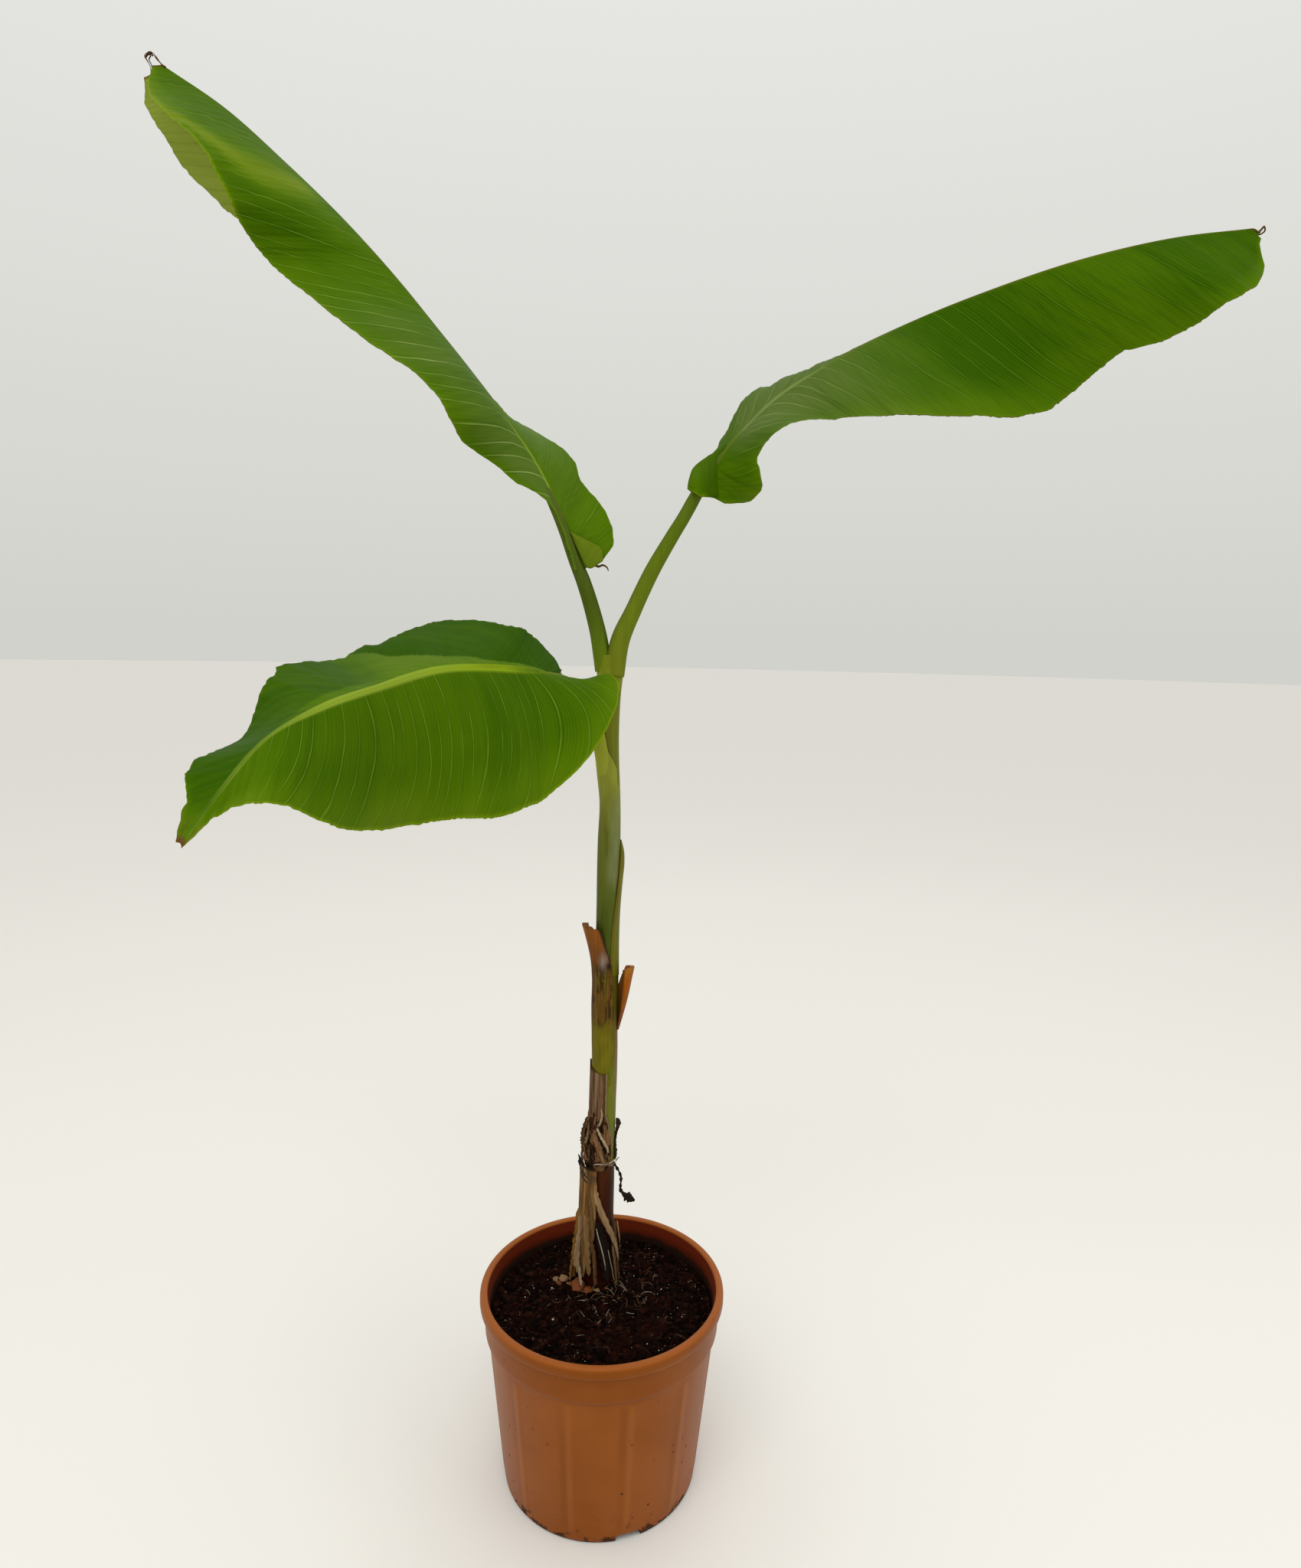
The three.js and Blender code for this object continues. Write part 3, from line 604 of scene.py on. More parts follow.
    # the inside is stained by the peat, and below the rim its wall turns near black
    wall = k.calc("ADD", k.remap(z, 0.0, 0.196, 0.1176, 0.1367, smooth=False), k.calc("MULTIPLY", k.calc("GREATER_THAN", z, 0.197), 0.0034))
    inside = k.calc("MULTIPLY", k.calc("LESS_THAN", radius, wall), k.calc("MULTIPLY", k.calc("GREATER_THAN", z, 0.0045), k.remap(z, 0.2440, 0.2415)))
    base = k.mix(k.calc("MULTIPLY", inside, 0.93), base, (0.110, 0.0075, 0.0015, 1))
    below_rim_dark = k.calc("MULTIPLY", inside, k.remap(k.calc("ADD", z, k.calc("MULTIPLY", dirt, 0.012)), 0.237, 0.228))
    base = k.mix(below_rim_dark, base, (0.014, 0.004, 0.002, 1))
    colour = k.mix(dirty, base, (0.028, 0.010, 0.004, 1))
    h = k.calc("ADD", k.calc("MULTIPLY", grain, 0.3), k.calc("MULTIPLY", scuff, 0.5))
    rough = k.calc("ADD", k.calc("ADD", 0.34, k.calc("MULTIPLY", cloud, 0.14)), k.calc("MULTIPLY", k.calc("MAXIMUM", dirty, inside), 0.35))
    return k.finish(colour, rough, k.bump(h, 0.12, 0.0004))


def soil_look():
    k = Look("peat", 0.95, 0.03)
    at = k.coords()
    a = k.noise(at, 110.0, 5.0, 0.65)
    b = k.noise(at, 480.0, 3.0, 0.6)
    c = k.noise(at, 28.0, 3.0, 0.5)
    colour = k.ramp(a, [(0.34, (0.0008, 0.0004, 0.0003)), (0.52, (0.0056, 0.0018, 0.0010)), (0.70, (0.034, 0.0130, 0.0070))])
    colour = k.mix(k.calc("MULTIPLY", k.remap(c, 0.45, 0.65), 0.5), colour, (0.013, 0.0022, 0.0010, 1))
    colour = k.mix(k.calc("MULTIPLY", k.remap(b, 0.64, 0.76), 0.35), colour, (0.045, 0.020, 0.010, 1))
    h = k.calc("ADD", a, k.calc("MULTIPLY", b, 0.5))
    return k.finish(colour, None, k.bump(h, 0.9, 0.002))


pot_mat = pot_look()
soil_mat = soil_look()
perlite_mat = plain_look("perlite", (0.42, 0.39, 0.34, 1), 0.8, 0.1)
fibre_mats = [
    plain_look("fibre_straw", (0.17, 0.105, 0.055, 1), 0.8, 0.08),
    plain_look("fibre_brown", (0.050, 0.022, 0.010, 1), 0.8, 0.08),
    plain_look("fibre_pale", (0.30, 0.24, 0.17, 1), 0.8, 0.1),
]
clod_mats = [
    plain_look("clod_dark", (0.0022, 0.0011, 0.0008, 1), 0.95, 0.03),
    plain_look("clod_brown", (0.0070, 0.0022, 0.0012, 1), 0.95, 0.03),
    plain_look("clod_red", (0.018, 0.0034, 0.0014, 1), 0.9, 0.04),
    plain_look("clod_tan", (0.085, 0.040, 0.018, 1), 0.9, 0.06),
]
chip_mats = [
    plain_look("chip_orange", (0.150, 0.040, 0.008, 1), 0.6, 0.15),
    plain_look("chip_tan", (0.210, 0.120, 0.055, 1), 0.8, 0.1),
]
thread_mat = plain_look("dry_thread", (0.030, 0.022, 0.018, 1), 0.8)

# ---------------------------------------------------------------------- pot

POT_H = 245.1
WALL_FOOT, WALL_TOP, COLLAR_Z, LIP_Z = 118.9, 138.0, 194.0, 230.0


def inner_radius(z):
    low, top = WALL_FOOT - 2.5, WALL_TOP - 2.5
    if z <= COLLAR_Z:
        return low + (top - low) * z / COLLAR_Z
    if z <= LIP_Z:
        return top + 1.9 * (z - COLLAR_Z) / (LIP_Z - COLLAR_Z)
    return top + 1.9 + (139.5 - top - 1.9) * (z - LIP_Z) / (POT_H - LIP_Z)


def build_pot():
    seg = 360
    wall = lambda z: WALL_FOOT + (WALL_TOP - WALL_FOOT) * z / COLLAR_Z
    prof = [(0.0, 0.0, 0), (30, 0, 0), (70, 0, 0), (100, 0, 0), (112, 0, 0), (115.6, 0.0, 0), (117.2, 0.3, 0), (118.4, 1.2, 0), (119.0, 2.6, 0.1)]
    for z in np.linspace(6, 187, 48):
        prof.append((wall(z), z, 1))
    prof += [
        (wall(190.5), 190.5, 1), (wall(192.6) + 0.05, 192.6, 0.8), (138.3, 194.0, 0.4), (139.6, 195.0, 0.1), (141.2, 195.9, 0),
        (142.2, 197.2, 0), (142.6, 199.4, 0), (142.8, 206, 0), (143.1, 214, 0), (143.5, 222, 0), (143.7, 227.2, 0),
        (143.8, 228.9, 0), (144.5, 229.9, 0), (146.4, 230.3, 0), (147.9, 230.8, 0), (148.8, 231.9, 0), (149.1, 233.6, 0),
        (149.15, 236.5, 0), (149.1, 239.6, 0), (148.8, 242.0, 0), (148.0, 243.7, 0), (146.7, 244.7, 0), (145.0, 245.1, 0),
        (143.0, 245.0, 0), (141.2, 244.5, 0), (140.1, 243.5, 0), (139.6, 242.0, 0), (139.3, 239, 0),
    ]
    for z in (236, 232, 228, 222, 216, 210, 204, 198, 194):
        prof.append((inner_radius(z), z, 0))
    for z in np.linspace(186, 6, 16):
        prof.append((inner_radius(z), z, 0.5))
    prof += [(115.0, 4.2, 0), (110, 4.0, 0), (60, 4.0, 0), (0.0, 4.0, 0)]
    prof = np.array(prof)
    phi = np.arange(seg) / seg * 2 * np.pi
    # wide shallow panels in the wall, each with soft ridges at its sides
    panels = 12
    ph = (phi - math.radians(17)) * panels / (2 * np.pi) + 0.5
    f = ph - np.floor(ph)
    ridge = np.exp(-(((f - 0.5) / 0.060) ** 2)) * 0.85 - 0.35 * np.exp(-((np.minimum(f, 1 - f) / 0.25) ** 2))
    b = Build()
    pts = np.zeros((len(prof), seg, 3))
    vec = np.zeros((len(prof), seg, 3))
    for i, (r, z, w) in enumerate(prof):
        fade = smooth01(z, 4, 30) * smooth01(z, 194, 176) if w and r > inner_radius(z) + 1 else 0.0
        rr = r + ridge * w * fade + (0.12 * np.sin(2 * phi + z * 0.01) if r > 60 else 0)
        zz = np.full(seg, z)
        if 196 < z < 203:
            zz = z - 0.0 * phi
        pts[i] = np.stack([rr * np.cos(phi), rr * np.sin(phi), zz], -1)
        vec[i, :, 0] = z * MM
    first = b.points(pts * MM, None, vec)
    # the two poles are closed by their own tiny rings
    b.grid(first, len(prof), seg, wrap=True, flip=True)
    ob = b.object("pot_body", [pot_mat])
    # weld the poles, then cut the three drainage notches in the foot
    bm = bmesh.new()
    bm.from_mesh(ob.data)
    bmesh.ops.remove_doubles(bm, verts=bm.verts, dist=1e-6)
    bmesh.ops.recalc_face_normals(bm, faces=bm.faces)
    bm.to_mesh(ob.data)
    bm.free()
    cutters = []
    for k in range(3):
        a = math.radians(-71 + 120 * k)
        me = bpy.data.meshes.new("notch")
        bb = bmesh.new()
        bmesh.ops.create_cube(bb, size=1.0)
        for v in bb.verts:
            v.co.x = v.co.x * 17.0 * MM + 114.4 * MM
            v.co.y *= (33.0 if v.co.z < 0 else 29.0) * MM
            v.co.z *= 18.0 * MM
        bmesh.ops.bevel(bb, geom=[e for e in bb.edges if abs(e.verts[0].co.y - e.verts[1].co.y) < 1e-9 and e.verts[0].co.z > 0 and e.verts[1].co.z > 0], offset=1.2 * MM, segments=3, affect="EDGES")
        bb.transform(Matrix.Rotation(a, 4, "Z"))
        bb.to_mesh(me)
        bb.free()
        c = bpy.data.objects.new("notch", me)
        scene.collection.objects.link(c)
        cutters.append(c)
    for c in cutters:
        mod = ob.modifiers.new("cut", "BOOLEAN")
        mod.operation, mod.solver, mod.object = "DIFFERENCE", "EXACT", c
    bpy.context.view_layer.update()
    dg = bpy.context.evaluated_depsgraph_get()
    cut = bpy.data.meshes.new_from_object(ob.evaluated_get(dg), preserve_all_data_layers=True, depsgraph=dg)
    ob.modifiers.clear()
    ob.data = cut
    for c in cutters:
        bpy.data.objects.remove(c)
    for p in cut.polygons:
        p.use_smooth = True
    cut.set_sharp_from_angle(angle=math.radians(50))
    return ob


# --------------------------------------------------------------------- soil


def soil_height(x, y):
    """Millimetres. The peat is crowned a little at the stem and crumbly everywhere."""
    r = np.hypot(x, y)
    base = 218 + 8 * smooth01(r, 134, 60)
    lump = 4.6 * noise2(x / 34, y / 34, 11, 3) + 2.4 * noise2(x / 11, y / 11, 12, 3)
    crumb = 1.3 * noise2(x / 4.2, y / 4.2, 13, 2)
    hole = -8.0 * bell(np.hypot((x - 52) / 26, (y - 30) / 20), 0, 1) - 5.0 * bell(np.hypot((x + 70) / 26, (y - 10) / 18), 0, 1)
    hole = hole - 5.0 * bell(np.hypot((x + 20) / 30, (y + 70) / 16), 0, 1)
    mound = 4.0 * bell(np.hypot((x + 8) / 44, (y - 24) / 40), 0, 1)
    return base + lump + crumb + hole + mound


def build_soil():
    seg, rings = 300, 96
    phi = np.arange(seg) / seg * 2 * np.pi
    r = np.concatenate([np.linspace(0.4, 134.4, rings)])
    R, P = np.meshgrid(r, phi, indexing="ij")
    X, Y = R * np.cos(P), R * np.sin(P)
    Z = soil_height(X, Y)
    Z[-1] = np.minimum(Z[-1], 219)
    b = Build()
    top = np.stack([X, Y, Z], -1)
    edge = np.stack([X[-1], Y[-1], Z[-1] - 3], -1)[None]
    ring = lambda z: np.stack([(inner_radius(z) - 0.8) * np.cos(phi), (inner_radius(z) - 0.8) * np.sin(phi), np.full(seg, float(z))], -1)[None]
    low = ring(190)
    foot = ring(5.2)
    mid = np.stack([X[-1] * 0.003, Y[-1] * 0.003, np.full(seg, 4.6)], -1)[None]
    pts = np.concatenate([top, edge, low, ring(120), foot, mid])
    first = b.points(pts * MM)
    b.grid(first, len(pts), seg, wrap=True, flip=False)
    for k, fl in ((0, False), (len(pts) - 1, True)):
        j = np.arange(0, seg, 2)
        base = first + k * seg
        centre = b.points(pts[k].mean(0) * MM)
        q = np.stack([base + (j + 2) % seg, base + (j + 1) % seg, base + j, np.full(len(j), centre)], -1)
        uv = np.zeros((len(j), 4, 2))
        b.quads(q if not fl else q[:, ::-1], uv)
    ob = b.object("soil_body", [soil_mat], bake=False)
    bm = bmesh.new()
    bm.from_mesh(ob.data)
    bmesh.ops.recalc_face_normals(bm, faces=bm.faces)
    bm.to_mesh(ob.data)
    bm.free()
    return ob


def lump_verts(rng, size, squash=0.7):
    """A small irregular pebble: a jittered octahedron split once."""
    base = np.array([[1, 0, 0], [-1, 0, 0], [0, 1, 0], [0, -1, 0], [0, 0, 1], [0, 0, -1]], float)
    faces = [(0, 2, 4), (2, 1, 4), (1, 3, 4), (3, 0, 4), (2, 0, 5), (1, 2, 5), (3, 1, 5), (0, 3, 5)]
    verts = list(base)
    cache, out = {}, []

    def midpoint(a, b):
        key = (min(a, b), max(a, b))
        if key not in cache:
            cache[key] = len(verts)
            verts.append(unit(verts[a] + verts[b]))
        return cache[key]

    for a, b, c in faces:
        ab, bc, ca = midpoint(a, b), midpoint(b, c), midpoint(c, a)
        out += [(a, ab, ca), (ab, b, bc), (ca, bc, c), (ab, bc, ca)]
    v = np.array(verts) * rng.uniform(0.72, 1.15, (len(verts), 1))
    v = v * np.array([1, rng.uniform(0.6, 1.0), rng.uniform(0.45, squash)]) * size
    ang = rng.uniform(0, 6.28)
    c, s = math.cos(ang), math.sin(ang)
    tilt = rng.uniform(-0.5, 0.5)
    ct, st = math.cos(tilt), math.sin(tilt)
    v = v @ np.array([[c, s, 0], [-s, c, 0], [0, 0, 1]]).T @ np.array([[1, 0, 0], [0, ct, st], [0, -st, ct]]).T
    return v, out


CHIPS = [
    (-31, 10, 11.5, 5), (-19, 4, 7.5, 5), (-38, 14, 6.0, 5), (-50, 25, 7.0, 6), (-60, 29, 5.0, 6), (-55, 20, 3.5, 5), (-43, 19, 3.6, 6),
    (-7, 5, 4.0, 6), (4, 7, 3.4, 5), (-57, -40, 1.7, 4), (72, 64, 1.3, 4), (10, 3, 3.0, 3), (-29, 6, 3.2, 3), (22, 18, 3.6, 3),
]


def build_soil_bits():
    rng = np.random.default_rng(SEED)
    verts, faces, mats = [], [], []
    n = 0
    for _ in range(1500):
        r = 131 * math.sqrt(rng.uniform(0, 1))
        a = rng.uniform(0, 2 * math.pi)
        x, y = r * math.cos(a), r * math.sin(a)
        if math.hypot(x + 8, y - 30) < 22:
            continue
        kind = rng.choice([0, 1, 2, 3, 4], p=[0.30, 0.34, 0.18, 0.08, 0.10])
        size = rng.uniform(1.0, 4.2) if kind < 3 else rng.uniform(0.6, 1.9)
        if kind == 4:  # grit lies in patches
            size = rng.uniform(0.45, 1.0) * (1.5 if rng.uniform() > 0.9 else 1.0)
            if float(noise2(np.array(x / 40), np.array(y / 40), 17, 2)) < -0.15:
                continue
        v, f = lump_verts(rng, size)
        z = float(soil_height(np.array(x), np.array(y)))
        v = v + np.array([x, y, z + 0.25 * size])
        if np.hypot(v[:, 0], v[:, 1]).max() > 133.5:
            continue
        verts.append(v)
        faces += [tuple(i + n for i in t) for t in f]
        mats += [kind] * len(f)
        n += len(v)
    # chips of old sheath at the foot of the stem, and two larger white grains
    for x, y, size, kind in CHIPS:
        v, f = lump_verts(rng, size, 0.8)
        v = v + np.array([x, y, float(soil_height(np.array(float(x)), np.array(float(y)))) + 0.3 * size])
        verts.append(v)
        faces += [tuple(i + n for i in t) for t in f]
        mats += [kind] * len(f)
        n += len(v)
    v = np.concatenate(verts) * MM
    loops = np.array(faces).ravel()
    ob = mesh_object("soil_crumbs", v, loops, np.arange(len(faces)) * 3, np.full(len(faces), 3), clod_mats + [perlite_mat] + chip_mats, mats, smooth=False)
    return ob


def build_soil_fibres():
    rng = np.random.default_rng(SEED + 1)
    b = Build()
    for k in range(210):
        near = k < 95
        if near:  # roots and torn fibre round the foot of the stem, most of it in front
            a = rng.normal(-1.0, 0.75)
            r = rng.uniform(24, 84)
            x, y = -8 + r * math.cos(a), 30 + r * math.sin(a)
        else:
            r = 126 * math.sqrt(rng.uniform(0, 1))
            a = rng.uniform(0, 2 * math.pi)
            x, y = r * math.cos(a), r * math.sin(a)
        length = rng.uniform(5, 22) if near else rng.uniform(4, 15)
        heading = rng.uniform(0, 2 * math.pi)
        bend = rng.normal(0, 0.10)
        pts = []
        steps = 8
        z0 = float(soil_height(np.array(x), np.array(y)))
        rise = rng.uniform(-0.1, 0.55) if near else rng.uniform(-0.15, 0.35)
        for i in range(steps):
            z = float(soil_height(np.array(x), np.array(y)))
            s = i / (steps - 1)
            pts.append((x, y, max(z - 0.2, z0) + 0.4 + rise * length * s * (1 - s) * 1.6))
            x += math.cos(heading) * length / steps
            y += math.sin(heading) * length / steps
            heading += bend + rng.normal(0, 0.12)
        pts = np.array(pts)
        if np.hypot(pts[:, 0], pts[:, 1]).max() > 132:
            continue
        rad = rng.uniform(0.16, 0.42) if near else rng.uniform(0.14, 0.32)
        r = rad * np.linspace(1, 0.45, steps)
        b.tube(pts * MM, r * MM, 6, mat=int(rng.choice([0, 1, 2], p=[0.35, 0.25, 0.40] if near else [0.35, 0.50, 0.15])))
    return b.object("soil_fibres", fibre_mats, bake=False)


# --------------------------------------------------------------- pseudostem

STEM = [
    [226.4, -8.0, 32.0, 23.0, 22.0], [250, -7.6, 29.0, 21.0, 20.5], [280, -7.0, 26.0, 20.0, 20.0],
    [337, -6.0, 20.0, 18.5, 18.5], [392, -4.5, 15.0, 17.0, 17.0], [454, -2.5, 10.0, 15.6, 15.6],
    [538, -0.7, 5.0, 15.2, 15.0], [606, -0.7, 2.5, 14.6, 14.4], [698, -0.3, 0.0, 13.4, 13.4],
    [799, 0.7, 0.0, 13.6, 13.0], [848, 1.0, 0.0, 12.6, 12.6], [888, -2.2, 0.0, 13.9, 13.0],
    [923, -4.0, 0.0, 14.7, 13.0], [962, -3.3, 0.0, 15.1, 12.5], [996, -0.7, 0.0, 15.6, 11.5],
    [1012, -1.0, 0.0, 17.0, 11.0],
]
stem_f = [track(STEM, c) for c in (1, 2, 3, 4)]


def on_stem(z, a, out=0.0):
    """A point round the stem: height z, angle a in degrees, out from its surface. Millimetres."""
    z, a, out = np.broadcast_arrays(np.asarray(z, float), np.asarray(a, float), np.asarray(out, float))
    x, y, rx, ry = (f(z) for f in stem_f)
    t = np.radians(a)
    return np.stack([x + (rx + out) * np.cos(t), y + (ry + out) * np.sin(t), z], -1)


def lerp_colour(stops, z):
    """Colour along z from (z, (r, g, b)) stops."""
    zs = [s[0] for s in stops]
    return np.stack([np.interp(z, zs, [s[1][c] for s in stops]) for c in range(3)], -1)


def rgba(c):
    return np.concatenate([c, np.ones(c.shape[:-1] + (1,))], -1)


STEM_FRONT = [
    (220, (0.030, 0.004, 0.001)), (300, (0.034, 0.004, 0.001)), (360, (0.042, 0.005, 0.001)), (392, (0.055, 0.010, 0.002)),
    (408, (0.100, 0.070, 0.010)), (440, (0.118, 0.125, 0.012)), (500, (0.128, 0.138, 0.012)), (545, (0.112, 0.100, 0.003)),
    (585, (0.096, 0.076, 0.003)), (640, (0.070, 0.088, 0.007)), (690, (0.056, 0.080, 0.006)), (735, (0.080, 0.104, 0.012)),
    (790, (0.112, 0.128, 0.016)), (850, (0.200, 0.215, 0.024)), (900, (0.300, 0.320, 0.036)), (935, (0.300, 0.320, 0.028)),
    (965, (0.200, 0.235, 0.012)), (1012, (0.150, 0.195, 0.006)),
]

# Free edges of the wrapped sheaths: height, angle. The first stands up on its left side,
# the second on its right.
SHEATH_UPPER = [[868, 319], [886, 317], [895, 300], [905, 278], [914, 271], [925, 264], [950, 250], [975, 236]]
SHEATH_FLAP_LINE = [[560, 296], [640, 291], [655, 292], [690, 297], [720, 312], [755, 334], [786, 358]]
edge_upper = track(SHEATH_UPPER, 1)
edge_flap = track(SHEATH_FLAP_LINE, 1)


def turn_from(a, centre):
    """Signed angle from centre, -180 to 180."""
    return np.mod(a - centre + 180, 360) - 180


def stem_paint(z, a):
    c = lerp_colour(STEM_FRONT, z)
    a = np.mod(a, 360)

    def toward(c, colour, gain):
        return c + (np.array(colour) - c) * np.clip(gain, 0, 1)[..., None]

    # waxy bloom down the right of the front, greener at the left edge
    c = toward(c, (0.175, 0.205, 0.085), 0.72 * smooth01(z, 735, 765) * smooth01(z, 868, 835) * bell(turn_from(a, 306), 0, 30))
    c = toward(c, (0.175, 0.195, 0.060), 0.45 * smooth01(z, 745, 765) * smooth01(z, 800, 775) * bell(turn_from(a, 276), 0, 16))
    c = toward(c, (0.036, 0.064, 0.004), 0.85 * smooth01(z, 640, 700) * smooth01(z, 880, 820) * bell(turn_from(a, 178), 0, 26))
    c = toward(c, (0.052, 0.075, 0.004), 0.75 * smooth01(z, 648, 662) * smooth01(z, 745, 715) * bell(turn_from(a, 250), 0, 40))
    c = toward(c, (0.105, 0.112, 0.004), 0.75 * smooth01(z, 782, 790) * smooth01(z, 818, 810) * bell(turn_from(a, 262), 0, 6))
    c = toward(c, (0.120, 0.130, 0.006), 0.40 * smooth01(z, 690, 740) * smooth01(z, 860, 800) * bell(turn_from(a, 232), 0, 22))
    # green strip at the right of the dry part, brown at its edge
    c = toward(c, (0.138, 0.160, 0.010), 0.85 * smooth01(z, 398, 410) * smooth01(z, 545, 500) * bell(turn_from(a, 322), 0, 34))
    c = toward(c, (0.105, 0.055, 0.014), 0.75 * smooth01(z, 395, 410) * smooth01(z, 540, 500) * bell(turn_from(a, 362), 0, 10))
    c = toward(c, (0.190, 0.095, 0.040), 0.85 * smooth01(z, 455, 500) * smooth01(z, 600, 580) * bell(turn_from(a, 339), 0, 13))
    c = toward(c, (0.150, 0.130, 0.006), 0.60 * smooth01(z, 520, 535) * smooth01(z, 660, 600) * bell(turn_from(a, 262), 0, 46))
    c = toward(c, (0.095, 0.040, 0.006), 0.75 * smooth01(z, 528, 536) * smooth01(z, 600, 585) * bell(turn_from(a, 192), 0, 20))
    # maroon foot: a reddish stripe, then darker to the right
    c = toward(c, (0.070, 0.014, 0.003), 0.8 * smooth01(z, 402, 390) * smooth01(z, 300, 330) * bell(turn_from(a, 276), 0, 13))
    c = toward(c, (0.016, 0.004, 0.002), 0.7 * smooth01(z, 402, 390) * bell(turn_from(a, 340), 0, 28))
    # the flap's sheath is lighter, with a brown edge and a painted shadow just past it; the upper sheath is yellower,
    # with a pale rim and a painted shadow where its edge steps down
    da = turn_from(a, edge_flap(np.clip(z, 562, 785)))
    in_flap = smooth01(z, 585, 650) * smooth01(z, 796, 780)
    c = toward(c, (0.135, 0.138, 0.010), 0.65 * in_flap * smooth01(da, 0, 4) * smooth01(da, 100, 60))
    c = toward(c, (0.120, 0.060, 0.008), 0.85 * in_flap * line_at(da, 1.5, 3.0))
    # painted shadow just past the flap's edge
    c = toward(c, (0.020, 0.034, 0.002), 0.75 * in_flap * line_at(da, -2.6, 2.0))
    du = turn_from(a, edge_upper(np.clip(z, 870, 974)))
    in_upper = smooth01(z, 862, 872) * smooth01(z, 978, 968)
    c = toward(c, (0.100, 0.112, 0.004), 0.75 * in_upper * smooth01(du, 0, 4) * smooth01(du, 120, 80))
    # painted shadow where the upper sheath's edge steps down
    c = toward(c, (0.040, 0.034, 0.002), 0.90 * in_upper * line_at(du, 2.2, 2.8))
    c = toward(c, (0.300, 0.330, 0.045), 0.70 * in_upper * line_at(du, -2.2, 2.4))
    c = toward(c, (0.260, 0.280, 0.030), 0.45 * in_upper * smooth01(du, 0, -6) * smooth01(du, -70, -30))
    n = noise2(z / 22, np.cos(np.radians(a)) * 2 + a / 60, 41, 3)
    c = c * (1 + 0.14 * n)[..., None]
    return rgba(np.clip(c, 0, 1))


def build_stem():
    b = Build()
    nz, na = 520, 128
    z = np.linspace(222, 1013, nz)
    a = np.arange(na) / na * 360
    Z, A = np.meshgrid(z, a, indexing="ij")
    # ribs of the wrapped sheaths at the back: each turns a little as it climbs
    ridge = 0.0 * Z
    for k, (a0, twist, h) in enumerate([(60, 30, 0.5), (140, -25, 0.5)]):
        u = np.mod(A - a0 - twist * (Z - 300) / 700, 360)
        ridge += h * (smooth01(u, 0, 5) * smooth01(u, 70, 30))
    du = turn_from(A, edge_upper(np.clip(Z, 870, 974)))
    ridge += 1.2 * smooth01(du, 1.5, -1.5) * smooth01(du, -100, -50) * smooth01(Z, 862, 874) * smooth01(Z, 978, 966)
    df = turn_from(A, edge_flap(np.clip(Z, 562, 785)))
    ridge += 0.9 * smooth01(df, -1.5, 1.5) * smooth01(df, 120, 60) * smooth01(Z, 585, 650) * smooth01(Z, 790, 770)
    fine = 0.10 * noise2(A / 3.0, Z / 60, 21, 2)
    wob = 0.35 * noise2(A / 70, Z / 45, 22, 2)
    P = on_stem(Z, A, ridge - 0.6 + fine + wob)
    first = b.points(P * MM, stem_paint(Z, A))
    b.grid(first, nz, na, wrap=True, flip=True)
    for k in (0, nz - 1):
        j = np.arange(0, na, 2)
        base = first + k * na
        centre = b.points(P[k].mean(0) * MM, rgba(lerp_colour(STEM_FRONT, np.array([z[k]]))))
        q = np.stack([base + j, base + (j + 1) % na, base + (j + 2) % na, np.full(len(j), centre)], -1)
        b.quads(q if k == 0 else q[:, ::-1])
    return b


def sheath_plate(b, rows, nz=60, na=40, edge=1.0, ragged=0.0, paint=None, seed=1, ripple=0.0, lift=0.0, mat=0, box=(0, 0, 1, 1), lean=None, top_end=None, low_end=None):
    """A thin curved plate round the stem. Rows: z, first angle, last angle, clearance, thickness.
    lean is the angle that the plate leans away to; top_end and low_end shift its ends in height."""
    zs = np.linspace(rows[0][0], rows[-1][0], nz)
    a0, a1, cl, th = (track(rows, c)(zs) for c in (1, 2, 3, 4))
    q = np.linspace(0, 1, na)
    q = 0.5 - 0.5 * np.cos(np.pi * q)
    Z = np.repeat(zs[:, None], na, 1)
    w0 = ragged * wiggle(zs, seed, 26)
    w1 = ragged * wiggle(zs, seed + 5, 22)
    A = (a0 + w0)[:, None] * (1 - q) + (a1 + w1)[:, None] * q
    out = np.repeat(cl[:, None], na, 1)
    if lean is not None:
        out = 0.5 + (out - 0.5) * np.clip(np.cos(np.radians(A - lean)), 0, 1)
    out = out + ripple * noise2(A / 14, Z / 30, seed + 9, 3) + lift * (np.abs(2 * q - 1) ** 3)[None, :]
    th_edge = th[:, None] * (0.25 + 0.75 * (1 - np.abs(2 * q - 1) ** 6))[None, :] * edge
    # the top end is ragged too
    s = (zs - zs[0]) / (zs[-1] - zs[0])
    Z = Z + (s**3)[:, None] * ragged * 1.2 * wiggle(A[-1] * 0.6, seed + 3, 16)[None, :]
    if top_end is not None:
        Z = Z + (s**2)[:, None] * top_end(A[-1])[None, :]
    if low_end is not None:
        Z = Z + ((1 - s) ** 2)[:, None] * low_end(A[0])[None, :]
    top = on_stem(Z, A, out + th_edge)
    bottom = on_stem(Z, A, out)
    col = paint(Z, A, q) if callable(paint) else paint
    b.plate(top * MM, bottom * MM, col, None, flip=True, box=box, mats=(mat, mat, mat))


def cell(k, columns=5, rows=5, u0=0.0, v0=0.52):
    """The k-th free box of the bake map, beside a main plate that fills its lower half."""
    i, j = k % columns, k // columns
    w, h = (1 - u0) / columns, (1 - v0) / rows
    return (u0 + i * w + 0.06 * w, v0 + j * h + 0.06 * h, u0 + (i + 1) * w - 0.06 * w, v0 + (j + 1) * h - 0.06 * h)


